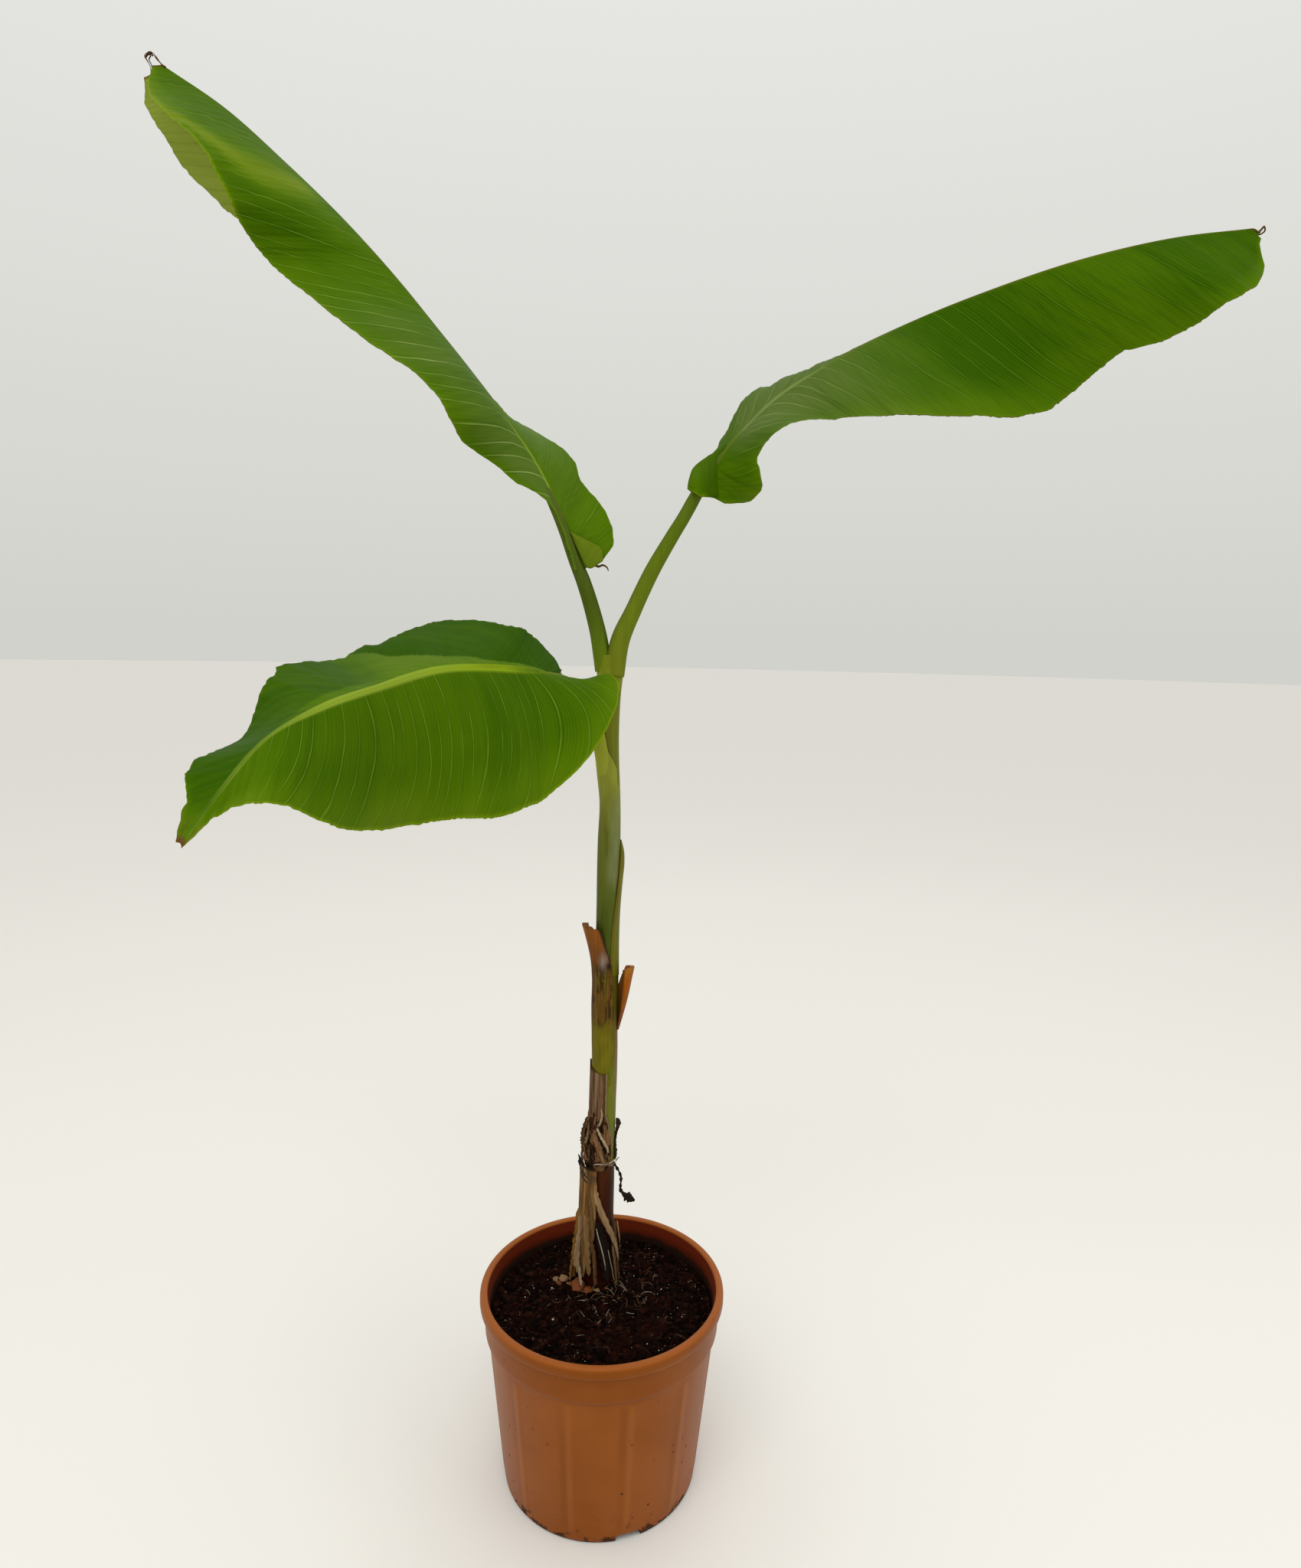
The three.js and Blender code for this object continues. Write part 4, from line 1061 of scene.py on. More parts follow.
def ribbon(b, rows, thick, colour, seed, box, n=36, m=7, curl=0.0, ragged=0.25, dark=0.45, twist=0.0, roll=0.0):
    """A torn strip of sheath along the stem. Rows: height, angle, clearance, width. Its ends narrow."""
    r = [[i, *x] for i, x in enumerate(rows)]
    u = np.linspace(0, len(rows) - 1, n)
    z, a, out, w = (track(r, k)(u) for k in (1, 2, 3, 4))
    c = on_stem(z, a, out)
    T = unit(np.gradient(c, axis=0))
    N = unit(on_stem(z, a, out + 1.0) - c)
    S = unit(np.cross(T, N))
    N = np.cross(S, T)
    th = np.radians(roll) + np.radians(twist) * (u / u[-1] - 0.5)
    S, N = S * np.cos(th)[:, None] + N * np.sin(th)[:, None], N * np.cos(th)[:, None] - S * np.sin(th)[:, None]
    x = np.linspace(-1, 1, m)
    ends = np.clip(smooth01(u, -0.02, 0.25) * smooth01(u, u[-1] + 0.02, u[-1] - 0.25), 0.12, 1)
    half = w / 2 * ends * (1 + ragged * wiggle(u * 20, seed, 9))
    skew = ragged * 0.4 * w * wiggle(u * 20, seed + 1, 13)
    g = c[:, None] + S[:, None] * (half[:, None] * x[None] + skew[:, None])[..., None] + N[:, None] * (curl * half[:, None] * (x**2)[None])[..., None]
    g = g + N[:, None] * (0.25 * noise2(np.repeat(x[None] * 2, n, 0), np.repeat(u[:, None] * 3, m, 1), seed + 2, 2))[..., None]
    shade = noise2(np.repeat(x[None] * 1.7, n, 0), np.repeat(u[:, None] * 1.3, m, 1), seed + 3, 3)
    col = np.array(colour)[None, None] * (1 + 0.35 * shade)[..., None]
    col = col * (1 - dark * smooth01(np.abs(x), 0.65, 1.0)[None, :, None])
    b.plate((g + N[:, None] * thick / 2) * MM, (g - N[:, None] * thick / 2) * MM, rgba(np.clip(col, 0, 1)), None, flip=True, box=box)


# ----------------------------------------------------------------- petioles

PETIOLE_LEFT = [
    [-8.5, 2, 995, 9.6], [-10.5, 1, 1014, 10.2], [-15.5, 0, 1041, 9.6],
    [-25.3, -2, 1075.6, 8.8], [-35.6, -3.9, 1105.0, 8.2],
]
PETIOLE_RIGHT = [
    [4, -1, 990, 11.0], [9.5, -1, 1029, 11.0], [24.4, -1, 1064.8, 9.6], [43.6, -0.5, 1106.3, 8.9],
    [64.9, 0, 1144, 7.9], [77.9, 0, 1165.7, 7.4], [90.6, 0, 1189.2, 7.3],
]
PETIOLE_FRONT = [
    [-6, -6, 880, 7.6], [-9, -12, 905, 8.0], [-15, -22, 935, 8.0], [-25, -36, 962, 7.6], [-35.4, -49.2, 982.0, 7.2],
]

LEAF_LEFT = [
    [0.000, -36, -4, 1106, 16, -28, 0, 3, 31, 109, 0, 8],
    [0.046, -45, -6, 1137, 13, -34, 1, -4, 53, 76, 1, 2],
    [0.097, -59, -8, 1171, 9, -42, -3, -8, 70, 37, -3, 13],
    [0.173, -84, -6, 1219, 40, -54, -23, 7, 99, 11, -22, 22],
    [0.267, -123, 0, 1273, 101, -20, -37, -3, 114, -12, -29, 27],
    [0.392, -178, 8, 1342, 132, -23, -38, 2, 100, -22, -31, 40],
    [0.522, -237, 16, 1412, 129, -44, -29, 23, 112, -46, -30, 46],
    [0.646, -298, 24, 1476, 143, -28, -27, 8, 147, -45, -27, 42],
    [0.767, -361, 30, 1534, 133, -21, -21, 2, 138, -48, -21, 34],
    [0.888, -426, 36, 1589, 93, -29, -11, 4, 95, -65, -11, 40],
    [1.000, -493, 40, 1632, 12, -50, 0, 24, 32, -66, 0, 39],
]
LEAF_RIGHT = [
    [0.000, 91, 0, 1190, 14, -84, 0, 2, 24, 37, 0, 13],
    [0.028, 98, 0, 1211, 55, -77, 1, 14, 31, 30, 1, 18],
    [0.071, 115, -3, 1230, 71, -47, -3, 15, 41, 25, -5, 18],
    [0.126, 138, -6, 1255, 74, -31, -16, 12, 56, 31, -21, 17],
    [0.204, 171, -12, 1288, 86, -51, -23, 18, 96, 22, -28, 11],
    [0.299, 219, -22, 1319, 105, -54, -27, 11, 126, 11, -32, 7],
    [0.450, 299, -40, 1358, 148, -63, -28, 11, 139, -9, -31, 11],
    [0.606, 386, -58, 1390, 132, -95, -25, 24, 145, -22, -28, 20],
    [0.752, 469, -75, 1414, 113, -81, -20, 32, 128, -32, -22, 33],
    [0.891, 551, -90, 1429, 96, -59, -14, 23, 76, -41, -11, 44],
    [1.000, 616, -100, 1434, 28, -70, 0, 26, 12, -21, 0, 56],
]
LEAF_FRONT = [
    [0.000, -36, -50, 983, 35, 24, -20, -14, 20, 24, 20, -22],
    [0.043, -48, -66, 990, 63, -8, -20, -22, 37, 22, 20, -42],
    [0.102, -64, -90, 995, 87, -31, -24, -22, 60, 26, 24, -66],
    [0.176, -85, -120, 999, 127, -66, -30, -6, 83, 42, 28, -52],
    [0.280, -113, -163, 1002, 147, -75, -36, -8, 103, 45, 30, -57],
    [0.406, -148, -215, 1001, 144, -81, -35, 0, 153, 17, 25, -43],
    [0.541, -184, -270, 988, 135, -95, -30, -1, 136, 3, 11, -31],
    [0.675, -218, -325, 972, 96, -73, -22, 29, 93, 9, 1, -14],
    [0.789, -245, -370, 951, 61, -37, -16, 56, 73, -18, 0, -10],
    [0.901, -263, -410, 917, 23, -42, -10, 67, 29, 18, 0, 13],
    [1.000, -281, -440, 882, 6, -65, 0, 54, 6, 24, 0, 8],
]


def build_petiole(name, stations, groove_hint, colours, leaf_rows, sink, channel=0.35):
    """A channelled petiole that runs on into the midrib's underside."""
    rows = [[i, *s] for i, s in enumerate(stations)]
    f = [track(rows, c) for c in (1, 2, 3, 4)]
    u = np.linspace(0, len(stations) - 1, 90)
    c = np.stack([g(u) for g in f[:3]], -1)
    r = f[3](u)
    g = [track(leaf_rows, k) for k in (1, 2, 3)]
    t = np.linspace(0.02, 0.13, 14)
    rib = np.stack([k(t) for k in g], -1)
    T = unit(np.gradient(rib, axis=0))
    U = unit(np.array([0, 0, 1.0]) - T * T[:, 2:3])
    rib = rib - U * (sink + 1.0 * (t / 0.13))[:, None]
    c = np.concatenate([c[:-4], rib])
    r = np.concatenate([r[:-4], np.linspace(r[-1] * 0.86, 4.6, len(t))])
    # smooth the joint
    for _ in range(6):
        c[60:-1] = 0.25 * c[59:-2] + 0.5 * c[60:-1] + 0.25 * c[61:]
        r[60:-1] = 0.25 * r[59:-2] + 0.5 * r[60:-1] + 0.25 * r[61:]
    n = len(c)
    deep = channel * smooth01(np.arange(n), 8, 30) * smooth01(np.arange(n), n - 2, n - 22)

    def shape(phi, k):
        d = np.minimum(phi, 2 * np.pi - phi)
        return 1 - deep[k] * np.exp(-((d / 0.42) ** 2)) + 0.10 * deep[k] * np.exp(-(((d - 0.85) / 0.25) ** 2)) + 0.012 * np.sin(9 * phi) + 0.008 * np.sin(23 * phi)

    b = Build()
    s = np.linspace(0, 1, n)
    base = lerp_colour(colours, s)
    b.tube(c * MM, r * MM, 48, col=rgba(base), shape=shape, hint=groove_hint)
    return b.object(name, [petiole_look])


# ------------------------------------------------------------------- leaves


def leaf_points(rows, near, gain, t, columns, power, length_scale=None, fold_add=None, sweep_add=None):
    """Both halves of a blade: each vein leaves the rib and bends as a drooping arc."""
    f = [None] + [track(rows, c) for c in range(1, len(rows[0]))]
    e = 1e-3
    at = lambda x: np.stack([f[1](x), f[2](x), f[3](x)], -1)
    rib = at(t)
    T = unit(at(np.minimum(t + e, 1)) - at(np.maximum(t - e, 0)))
    U = unit(np.array([0, 0, 1.0]) - T * T[:, 2:3])
    S = np.cross(T, U)
    q_at = np.concatenate([(np.arange(columns - 1) / (columns - 2)) ** power * 0.966, [0.988, 1.0]])
    halves = []
    for h, c in ((0, 8), (1, 4)):
        sign = near if h == 1 else -near
        L = np.maximum(f[c](t), 5)
        if length_scale is not None:
            L = L * length_scale[h]
        fold, droop, sweep = f[c + 1](t), f[c + 2](t), f[c + 3](t)
        if sweep_add is not None:
            sweep = sweep + sweep_add[h](t)
        p = rib.copy()
        pts = [p.copy()]
        for k in range(columns):
            steps = 3
            for m in range(steps):
                q0 = q_at[k] + (q_at[k + 1] - q_at[k]) * (m + 0.5) / steps
                dq = (q_at[k + 1] - q_at[k]) / steps
                a = np.radians(fold + droop * (q0 - 0.5) + (0 if fold_add is None else fold_add[h](t, q0)))
                b = np.radians(sweep + gain * (q0 - 0.5))
                p = p + S * (np.cos(b) * np.cos(a) * sign * L * dq)[:, None]
                p = p + U * (np.cos(b) * np.sin(a) * L * dq)[:, None]
                p = p + T * (np.sin(b) * L * dq)[:, None]
            pts.append(p.copy())
        halves.append((np.stack(pts, 1), L))
    far, near_half = halves
    grid = np.concatenate([far[0][:, :0:-1], near_half[0]], 1)
    q = np.concatenate([-q_at[:0:-1], q_at])
    d = np.concatenate([far[1][:, None] * q_at[:0:-1][None], near_half[1][:, None] * q_at[None]], 1)
    run = np.concatenate([[0], np.cumsum(np.linalg.norm(np.diff(rib, axis=0), axis=1))])
    return grid, q, d, run


def build_leaf(name, rows, near, gain, seed, paint, scales=None, folds=None, rib0=8.0, rib1=1.4, nt=560, columns=22, wave=1.0, thin=0.7, waves=None, sweep_add=None, rate=0.5, veer=None, strong=None):
    """A blade with pleats, margin waves, a channelled midrib above and a round one below.
    paint(t, q, s, d) gives the paint of the upper and of the under side."""
    u = np.linspace(0, 1, nt)
    t = np.where(u < 0.25, u * (0.55 + 1.8 * u), u)
    run0 = None
    ls = None
    if scales is not None:
        ls = [scales[0](t), scales[1](t)]
    grid, q, d, run = leaf_points(rows, near, gain, t, columns, 1.55, ls, folds, sweep_add)
    dt = np.gradient(grid, axis=0)
    dq = np.gradient(grid, axis=1)
    N = unit(np.cross(dt, dq)) * -near
    aq = np.abs(q)[None, :]
    s = run[:, None]
    side = np.sign(q)[None, :]
    # pleats between veins, slow corrugation, and waves that grow towards the margin
    off = smooth01(d, 2, 22)
    pleat = 0.16 * np.sin(2 * np.pi * (s / 7.4 + 0.35 * wiggle(s, seed, 60))) * off
    slow = 0.55 * wiggle(s + 0.15 * d * side, seed + 1, 46) * off
    margin = wave * aq**2.5 * (1.5 * wiggle(s + 7 * side, seed + 2, 62, 2) + 0.7 * wiggle(s - 9 * side, seed + 3, 21, 2))
    if waves is not None:
        margin = margin + waves(t[:, None], q[None, :], s, d)
    fade = smooth01(t[:, None], 0.0, 0.04) * smooth01(t[:, None], 1.0, 0.96)
    lift = (pleat + slow + margin) * fade
    mid = grid + N * lift[..., None]
    width = rib0 * 0.62 * (1 - t[:, None]) ** 0.7 + 1.2
    rib_depth = rib1 + (rib0 - rib1) * (1 - t[:, None]) ** 0.8
    core = np.exp(-((d / width) ** 2))
    ridge = rib_depth * np.sqrt(np.clip(1 - (d / (width * 1.15)) ** 2, 0, 1))
    groove = -0.9 * np.exp(-((d / (width * 0.55)) ** 2)) + 0.35 * np.exp(-(((d - width * 0.9) / (width * 0.35)) ** 2))
    groove = groove * (1 - 0.7 * t[:, None])
    half = thin / 2
    top = mid + N * (half + groove)[..., None]
    bottom = mid - N * (half + ridge)[..., None]
    tt = np.broadcast_to(t[:, None], d.shape)
    qq = np.broadcast_to(q[None, :], d.shape)
    ss = np.broadcast_to(s, d.shape)
    col_top, col_bottom = paint(tt, qq, ss, d)
    # where the lines drawn on the blade run: they lean from the rib towards the tip
    shift = 0.0 if veer is None else veer(tt, d, qq > 0)
    vec = np.stack([(rate * ss - rate * shift) * MM, d * MM, 0.4 + 0 * d if strong is None else strong(tt, d, qq > 0)], -1)
    b = Build()
    b.plate(top * MM, bottom * MM, col_top, vec, flip=near < 0, mats=(0, 1, 0), col_b=col_bottom)
    ob = b.object(name, [leaf_top, leaf_under])
    return ob, (top, bottom, t, q, N)


def stack_paint(bloom, light, dry, pale):
    return np.stack([np.clip(x, 0, 1) for x in np.broadcast_arrays(bloom, light, dry, pale)], -1)


# Where the painted highlight of the left blade's fold lies: by how far out from the rib, how far along the blade.
FOLD_HIGHLIGHT_LEFT = [[0, 0.698], [0.3, 0.700], [0.56, 0.708], [0.78, 0.742], [0.9, 0.80], [1.0, 0.90]]


def paint_left(t, q, s, d):
    near = q > 0
    aq = np.abs(q)
    low = smooth01(t, 0.30, 0.22)
    rib = line_at(d, 0, 1.5) * (0.62 * low) + line_at(d, 0, 1.3) * 0.18 * (1 - low)
    bloom = 0.55 * smooth01(t, 0.34, 0.20) * smooth01(aq, 1.0, 0.55) + 0.40 * bell(t, 0.37, 0.07) * bell(aq, 0.62, 0.30)
    bloom = np.where(near, bloom, 0.10 * bloom)
    # a painted highlight along the near half where it curves over towards the tip
    centre = track(FOLD_HIGHLIGHT_LEFT, 1)(aq)
    fold_highlight = bell(t, centre, 0.022 + 0.030 * aq) * smooth01(aq, 0.0, 0.25)
    light = 0.34 + 0.06 * smooth01(aq, 0.2, 0.9) - 0.20 * bell(t, 0.60, 0.08) * smooth01(aq, 0.2, 0.6)
    light = light + 0.62 * fold_highlight - 0.06 * smooth01(t, 0.76, 0.84) + 0.20 * smooth01(t, 0.74, 0.84) * smooth01(aq, 0.60, 0.90)
    light = light + 0.20 * smooth01(t, 0.16, 0.02) + 0.10 * smooth01(aq, 0.85, 1.0)
    light = np.where(near, light, np.where(t < 0.3, 0.46, 0.42))
    edge = smooth01(aq, 0.984, 0.994) * np.where(near, 0.25 + 0.45 * smooth01(t, 0.58, 0.66), 0.25)
    ridge = line_at(d, 0, 1.3) * smooth01(t, 0.24, 0.32) * 0.45
    dry = ridge + 0.9 * smooth01(t, 0.994, 1.0)
    top = stack_paint(bloom, light, dry, np.maximum(rib, edge))
    under_light = 0.40 + 0.60 * smooth01(t, 0.55, 0.72) - 0.15 * smooth01(aq, 0.7, 0.4)
    under = stack_paint(0.3 * smooth01(t, 0.3, 0.05), under_light, 0.9 * smooth01(t, 0.994, 1.0), np.maximum(line_at(d, 0, 3.0) * 0.7, edge * 0.5))
    return top, under


def paint_right(t, q, s, d):
    near = q > 0
    aq = np.abs(q)
    low = smooth01(t, 0.34, 0.24)
    rib = line_at(d, 0, 3.0) * 0.46 * low + line_at(d, 0, 1.4) * 0.2 * (1 - low)
    bloom = smooth01(t, 0.07, 0.15) * smooth01(t, 0.50, 0.17) * (0.50 + 0.50 * smooth01(aq, 0.95, 0.3))
    light = 0.26 - 0.30 * bell(t, 0.535, 0.11) * smooth01(aq, 0.85, 0.5) - 0.16 * smooth01(t, 0.78, 0.86)
    light = light + 0.20 * smooth01(aq, 0.72, 1.0) * smooth01(t, 0.66, 0.50) + 0.06 * bell(t, 0.40, 0.06)
    light = light + 0.12 * bell(t, 0.74, 0.05) * smooth01(aq, 0.3, 0.7) + 0.22 * smooth01(t, 0.09, 0.03)
    light = light + 0.34 * smooth01(t, 0.62, 0.92) * smooth01(aq, 0.72, 1.0)
    dry = 0.42 * smooth01(aq, 0.989, 0.999) * smooth01(t, 0.10, 0.25) * (0.6 + 0.4 * np.sin(s / 5.0) * np.sin(s / 13.0)) + 0.5 * line_at(d, 0, 1.2) * smooth01(t, 0.26, 0.34)
    edge = smooth01(aq, 0.984, 0.994) * 0.22
    top = stack_paint(bloom * np.where(near, 1, 0.9), light, dry, np.maximum(rib, edge))
    under = stack_paint(0.5 * smooth01(t, 0.5, 0.1), 0.40 + 0 * t, dry, np.maximum(line_at(d, 0, 3.0) * 0.6, edge))
    return top, under


# Where the far half of the front leaf is creased: at, and how far from rib to margin.
CREASE = [[0.0, 0.30], [0.05, 0.28], [0.12, 0.24], [0.17, 0.22], [0.268, 0.20], [0.345, 0.28], [0.443, 0.46], [0.508, 0.76], [0.547, 1.02], [0.6, 1.2], [1.0, 1.3]]
crease_at = track(CREASE, 1)


def crease_fold(t, q):
    c = np.clip(crease_at(t), 0.05, 1.0)
    k = 13 * np.clip((t - 0.05) / 0.08, 0, 1) * np.clip((0.56 - t) / 0.06, 0, 1)
    return np.where(q < c, k * (1 - 2 * q / c), k * (1 - 2 * (q - c) / np.maximum(1 - c, 0.05)))


def paint_front(t, q, s, d):
    near = q > 0
    aq = np.abs(q)
    w = 6.4 * (1 - t) ** 0.6 + 0.7
    rib = np.exp(-((d / w) ** 6)) * (0.25 + 0.85 * smooth01(t, 0.14, 0.25)) * (1 - 0.62 * smooth01(t, 0.60, 0.84)) * smooth01(t, 0.96, 0.86)
    rib = rib * (1 - 0.30 * line_at(d, 0.28 * w, 0.16 * w))
    c = crease_at(t)
    # the far half: a painted highlight on the strip beside the rib, which turns up to the light, and painted shade on
    # the flap past the crease
    strip = smooth01(aq, c + 0.025, c - 0.025) * smooth01(t, 0.05, 0.14) * smooth01(t, 0.60, 0.50)
    strip = np.maximum(strip, smooth01(aq, 0.22, 0.14) * smooth01(t, 0.48, 0.54) * smooth01(t, 0.80, 0.66) * 0.7)
    flap = smooth01(aq, c - 0.025, c + 0.025) * smooth01(t, 0.03, 0.06)
    strip = strip * (0.72 + 0.28 * smooth01(aq, 0.0, 0.1))
    light_near = 0.22 + 0.14 * smooth01(t, 0.16, 0.03) + 0.30 * smooth01(aq, 0.55, 1.0) + 0.14 * bell(t, 0.50, 0.14) + 0.16 * smooth01(t, 0.70, 0.88)
    light_far = 0.12 + 0.50 * strip - 0.55 * flap * (1 - strip)
    light = np.where(near, light_near, light_far)
    edge = smooth01(aq, 0.984, 0.993) * np.where(near, 0.75, 0.15 + 0.65 * smooth01(t, 0.84, 0.92))
    light = light + 0.30 * smooth01(t, 0.925, 0.965) - 0.14 * np.where(near, 0, bell(t, 0.84, 0.06)) + 0.25 * np.where(near, 0, smooth01(t, 0.86, 0.93) * smooth01(aq, 0.7, 1.0))
    tip = smooth01(t, 0.986, 0.998) + smooth01(t, 0.93, 0.97) * smooth01(aq, 0.90, 1.0) * 0.9
    tip = tip + 0.85 * line_at(aq, 0.30 + 0.25 * np.sin(40 * t), 0.05) * smooth01(t, 0.950, 0.970)
    dry = tip + np.where(near, 0.0, 0.45 * smooth01(aq, 0.988, 0.998)) * smooth01(t, 0.5, 0.6)
    dry = dry + 0.18 * line_at(d, 0.5, 2.2) * bell(t, 0.27, 0.035)
    white = 0.16 * smooth01(d, 1.6 * w, 0.8 * w) * smooth01(t, 0.26, 0.5)
    top = stack_paint(white, light, dry, np.maximum(rib, edge))
    under = stack_paint(0.1 + 0 * t, 0.40 + 0 * t, dry, np.maximum(line_at(d, 0, w * 0.8) * 0.8, edge * 0.5))
    return top, under


# How far the margins stand out of the plain outline, as factors of the half width.
MARGIN = {
    "front near": [
        [0, 1.145], [0.017, 1.119], [0.033, 1.065], [0.05, 0.995], [0.133, 0.975], [0.2, 1.0], [0.275, 0.98], [0.35, 1.008],
        [0.433, 0.991], [0.517, 1.017], [0.6, 0.99], [0.65, 1.006], [0.70, 0.993], [0.733, 0.992], [0.75, 1.014], [0.783, 1.035],
        [0.80, 1.021], [0.833, 0.979], [0.867, 0.947], [0.883, 0.981], [0.90, 0.985], [0.917, 0.87], [0.933, 0.846],
        [0.95, 0.81], [0.967, 0.788], [0.983, 0.676], [1.0, 0.6],
    ],
    "front far": [
        [0, 1.0], [0.067, 1.031], [0.083, 0.805], [0.10, 0.769], [0.117, 0.853], [0.133, 0.956], [0.167, 0.989], [0.183, 1.023],
        [0.233, 1.034], [0.267, 1.06], [0.30, 1.02], [0.367, 0.983], [0.40, 1.029], [0.433, 0.957], [0.45, 0.926], [0.483, 0.929],
        [0.50, 0.959], [0.517, 1.12], [0.533, 1.071], [0.55, 1.002], [0.567, 1.032], [0.60, 1.002], [0.633, 1.003], [0.643, 1.02],
        [0.652, 1.055], [0.658, 0.99], [0.667, 0.933], [0.683, 0.961], [0.70, 0.947], [0.75, 0.936], [0.767, 0.968], [0.775, 1.05],
        [0.783, 1.24], [0.79, 1.21], [0.80, 1.10], [0.817, 0.893], [0.833, 0.852], [0.85, 0.927], [0.867, 0.942], [0.883, 1.014],
        [0.90, 1.017], [0.917, 0.953], [0.933, 0.87], [0.95, 0.985], [0.967, 0.897], [0.983, 0.874], [1.0, 0.7],
    ],
    "left near": [
        [0, 1], [0.13, 1], [0.15, 1.183], [0.167, 1.067], [0.183, 0.981], [0.20, 0.942], [0.217, 0.955], [0.233, 1.021], [0.267, 1.034],
        [0.30, 0.985], [0.36, 0.968], [0.40, 1.019], [0.417, 1.026], [0.45, 0.983], [0.467, 0.971], [0.517, 1.016], [0.583, 0.992],
        [0.65, 1.006], [0.70, 1.006], [0.733, 0.991], [0.767, 0.995], [0.80, 1.021], [0.833, 1.031], [0.90, 1.035], [0.933, 1.0],
        [0.967, 0.986], [1.0, 0.9],
    ],
    "left far": [
        [0, 0.936], [0.017, 1.087], [0.033, 0.997], [0.05, 0.961], [0.083, 0.993], [0.10, 0.94], [0.117, 0.909], [0.133, 1.038],
        [0.15, 1.027], [0.167, 0.997], [0.20, 1.0], [0.60, 1.0], [0.733, 0.996], [0.80, 1.004], [0.817, 1.022], [0.85, 0.995],
        [0.867, 0.974], [0.883, 0.96], [0.90, 0.957], [0.933, 1.007], [0.95, 1.053], [0.967, 1.118], [0.983, 1.0], [1.0, 0.9],
    ],
    "right near": [
        [0, 0.8], [0.0083, 1.05], [0.0167, 1.03], [0.025, 1.08], [0.033, 1.07], [0.042, 1.09], [0.05, 1.13], [0.058, 1.14],
        [0.067, 1.02], [0.075, 0.86], [0.083, 0.80], [0.10, 0.84], [0.117, 0.93], [0.133, 1.06], [0.15, 1.07], [0.167, 1.02],
        [0.183, 0.99], [0.20, 1.02], [0.217, 0.99], [0.25, 0.961], [0.283, 1.007], [0.30, 1.041],
        [0.333, 1.034], [0.40, 1.001], [0.50, 1.002], [0.533, 1.015], [0.55, 1.038], [0.60, 1.012], [0.633, 0.975], [0.667, 0.945],
        [0.683, 0.938], [0.70, 0.977], [0.733, 1.042], [0.767, 1.045], [0.80, 1.02], [0.833, 0.978], [0.858, 0.964], [0.883, 0.983],
        [0.917, 1.034], [0.933, 1.084], [0.967, 1.12], [0.976, 1.08], [0.983, 0.86], [0.992, 0.62], [1.0, 0.5],
    ],
    "right far": [
        [0, 0.8], [0.017, 0.862], [0.033, 0.945], [0.05, 0.869], [0.083, 1.15], [0.10, 0.90], [0.133, 1.15], [0.183, 1.13],
        [0.20, 0.85], [0.233, 1.10], [0.25, 0.97], [0.267, 0.91], [0.283, 0.86], [0.31, 1.0], [1.0, 1.0],
    ],
}


def margin_scale(key, seed, amount=0.004):
    """The measured margin, with a little of the fine waver that a real one has."""
    rows = np.array(MARGIN[key], float)

    def scale(t):
        return np.interp(t, rows[:, 0], rows[:, 1]) * (1 + amount * wiggle(t * 760, seed, 13, 2))

    return scale


# ------------------------------------------------------------------- build
# ------------------------------------------------------------------- build

pieces = {}
pot = build_pot()
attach(pot, "root")
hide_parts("pot")

soil = build_soil()
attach(soil, "root")
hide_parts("soil")
for extra in (build_soil_bits(), build_soil_fibres()):
    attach(extra, "root")

stem_b = build_stem()
stem = stem_b.object("pseudostem_body", [stem_look])
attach(stem, "root")
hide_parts("pseudostem")

GREEN_PETIOLE = [(0.0, (0.155, 0.175, 0.012)), (0.25, (0.130, 0.175, 0.010)), (0.6, (0.100, 0.150, 0.008)), (1.0, (0.085, 0.135, 0.012))]
DARK_PETIOLE = [(0.0, (0.125, 0.170, 0.010)), (0.3, (0.100, 0.155, 0.008)), (0.65, (0.065, 0.095, 0.008)), (1.0, (0.080, 0.115, 0.015))]
PALE_PETIOLE = [(0.0, (0.300, 0.320, 0.036)), (0.35, (0.270, 0.300, 0.026)), (0.7, (0.170, 0.215, 0.010)), (1.0, (0.110, 0.160, 0.006))]
for name, stations, hint, colours, rows, sink in (
    ("petiole_right", PETIOLE_RIGHT, (-0.7, -0.2, 0.7), GREEN_PETIOLE, LEAF_RIGHT, 3.4),
    ("petiole_left", PETIOLE_LEFT, (0.8, -0.2, 0.5), DARK_PETIOLE, LEAF_LEFT, 3.4),
    ("petiole_front", PETIOLE_FRONT, (0.0, -0.2, 1.0), PALE_PETIOLE, LEAF_FRONT, 3.2),
):
    ob = build_petiole(name + "_stalk", stations, hint, colours, rows, sink)
    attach(ob, "root")
    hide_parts(name)

flat = lambda t, q: 0.0
still = lambda t: 0.0 * t
# the lowest veins of the right blade's near half turn back into a rounded lobe
lobe_sweep = lambda t: np.interp(t, [0, 0.006, 0.0125, 0.0167, 0.025, 0.0333, 0.0417, 0.05], [0, -12, -26, -27, -22, -15, -7, 0])
leaf_parts = {}


def veer_left(t, d, near):
    return (0.16 + 0.24 * smooth01(t, 0.35, 0.62)) * d + (3 + 15 * smooth01(t, 0.55, 0.30)) * (1 - np.exp(-d / 12))


def veer_right(t, d, near):
    return 0.27 * d + (4 + 20 * smooth01(t, 0.34, 0.16)) * (1 - np.exp(-d / 12))


def veer_front(t, d, near):
    return np.where(near, 22 * (d / 130) ** 2 + 0.30 * d * smooth01(t, 0.55, 0.85), 0.85 * d)


def strong_left(t, d, near):
    return np.where(near, 0.86 + 0.10 * smooth01(t, 0.5, 0.3), 0.30)


def strong_right(t, d, near):
    return np.where(near, 0.24 + 0.10 * smooth01(t, 0.35, 0.2), 0.2) * smooth01(t, 0.02, 0.10)


def strong_front(t, d, near):
    return np.where(near, 0.72 - 0.54 * smooth01(t, 0.80, 0.92), 0.16)


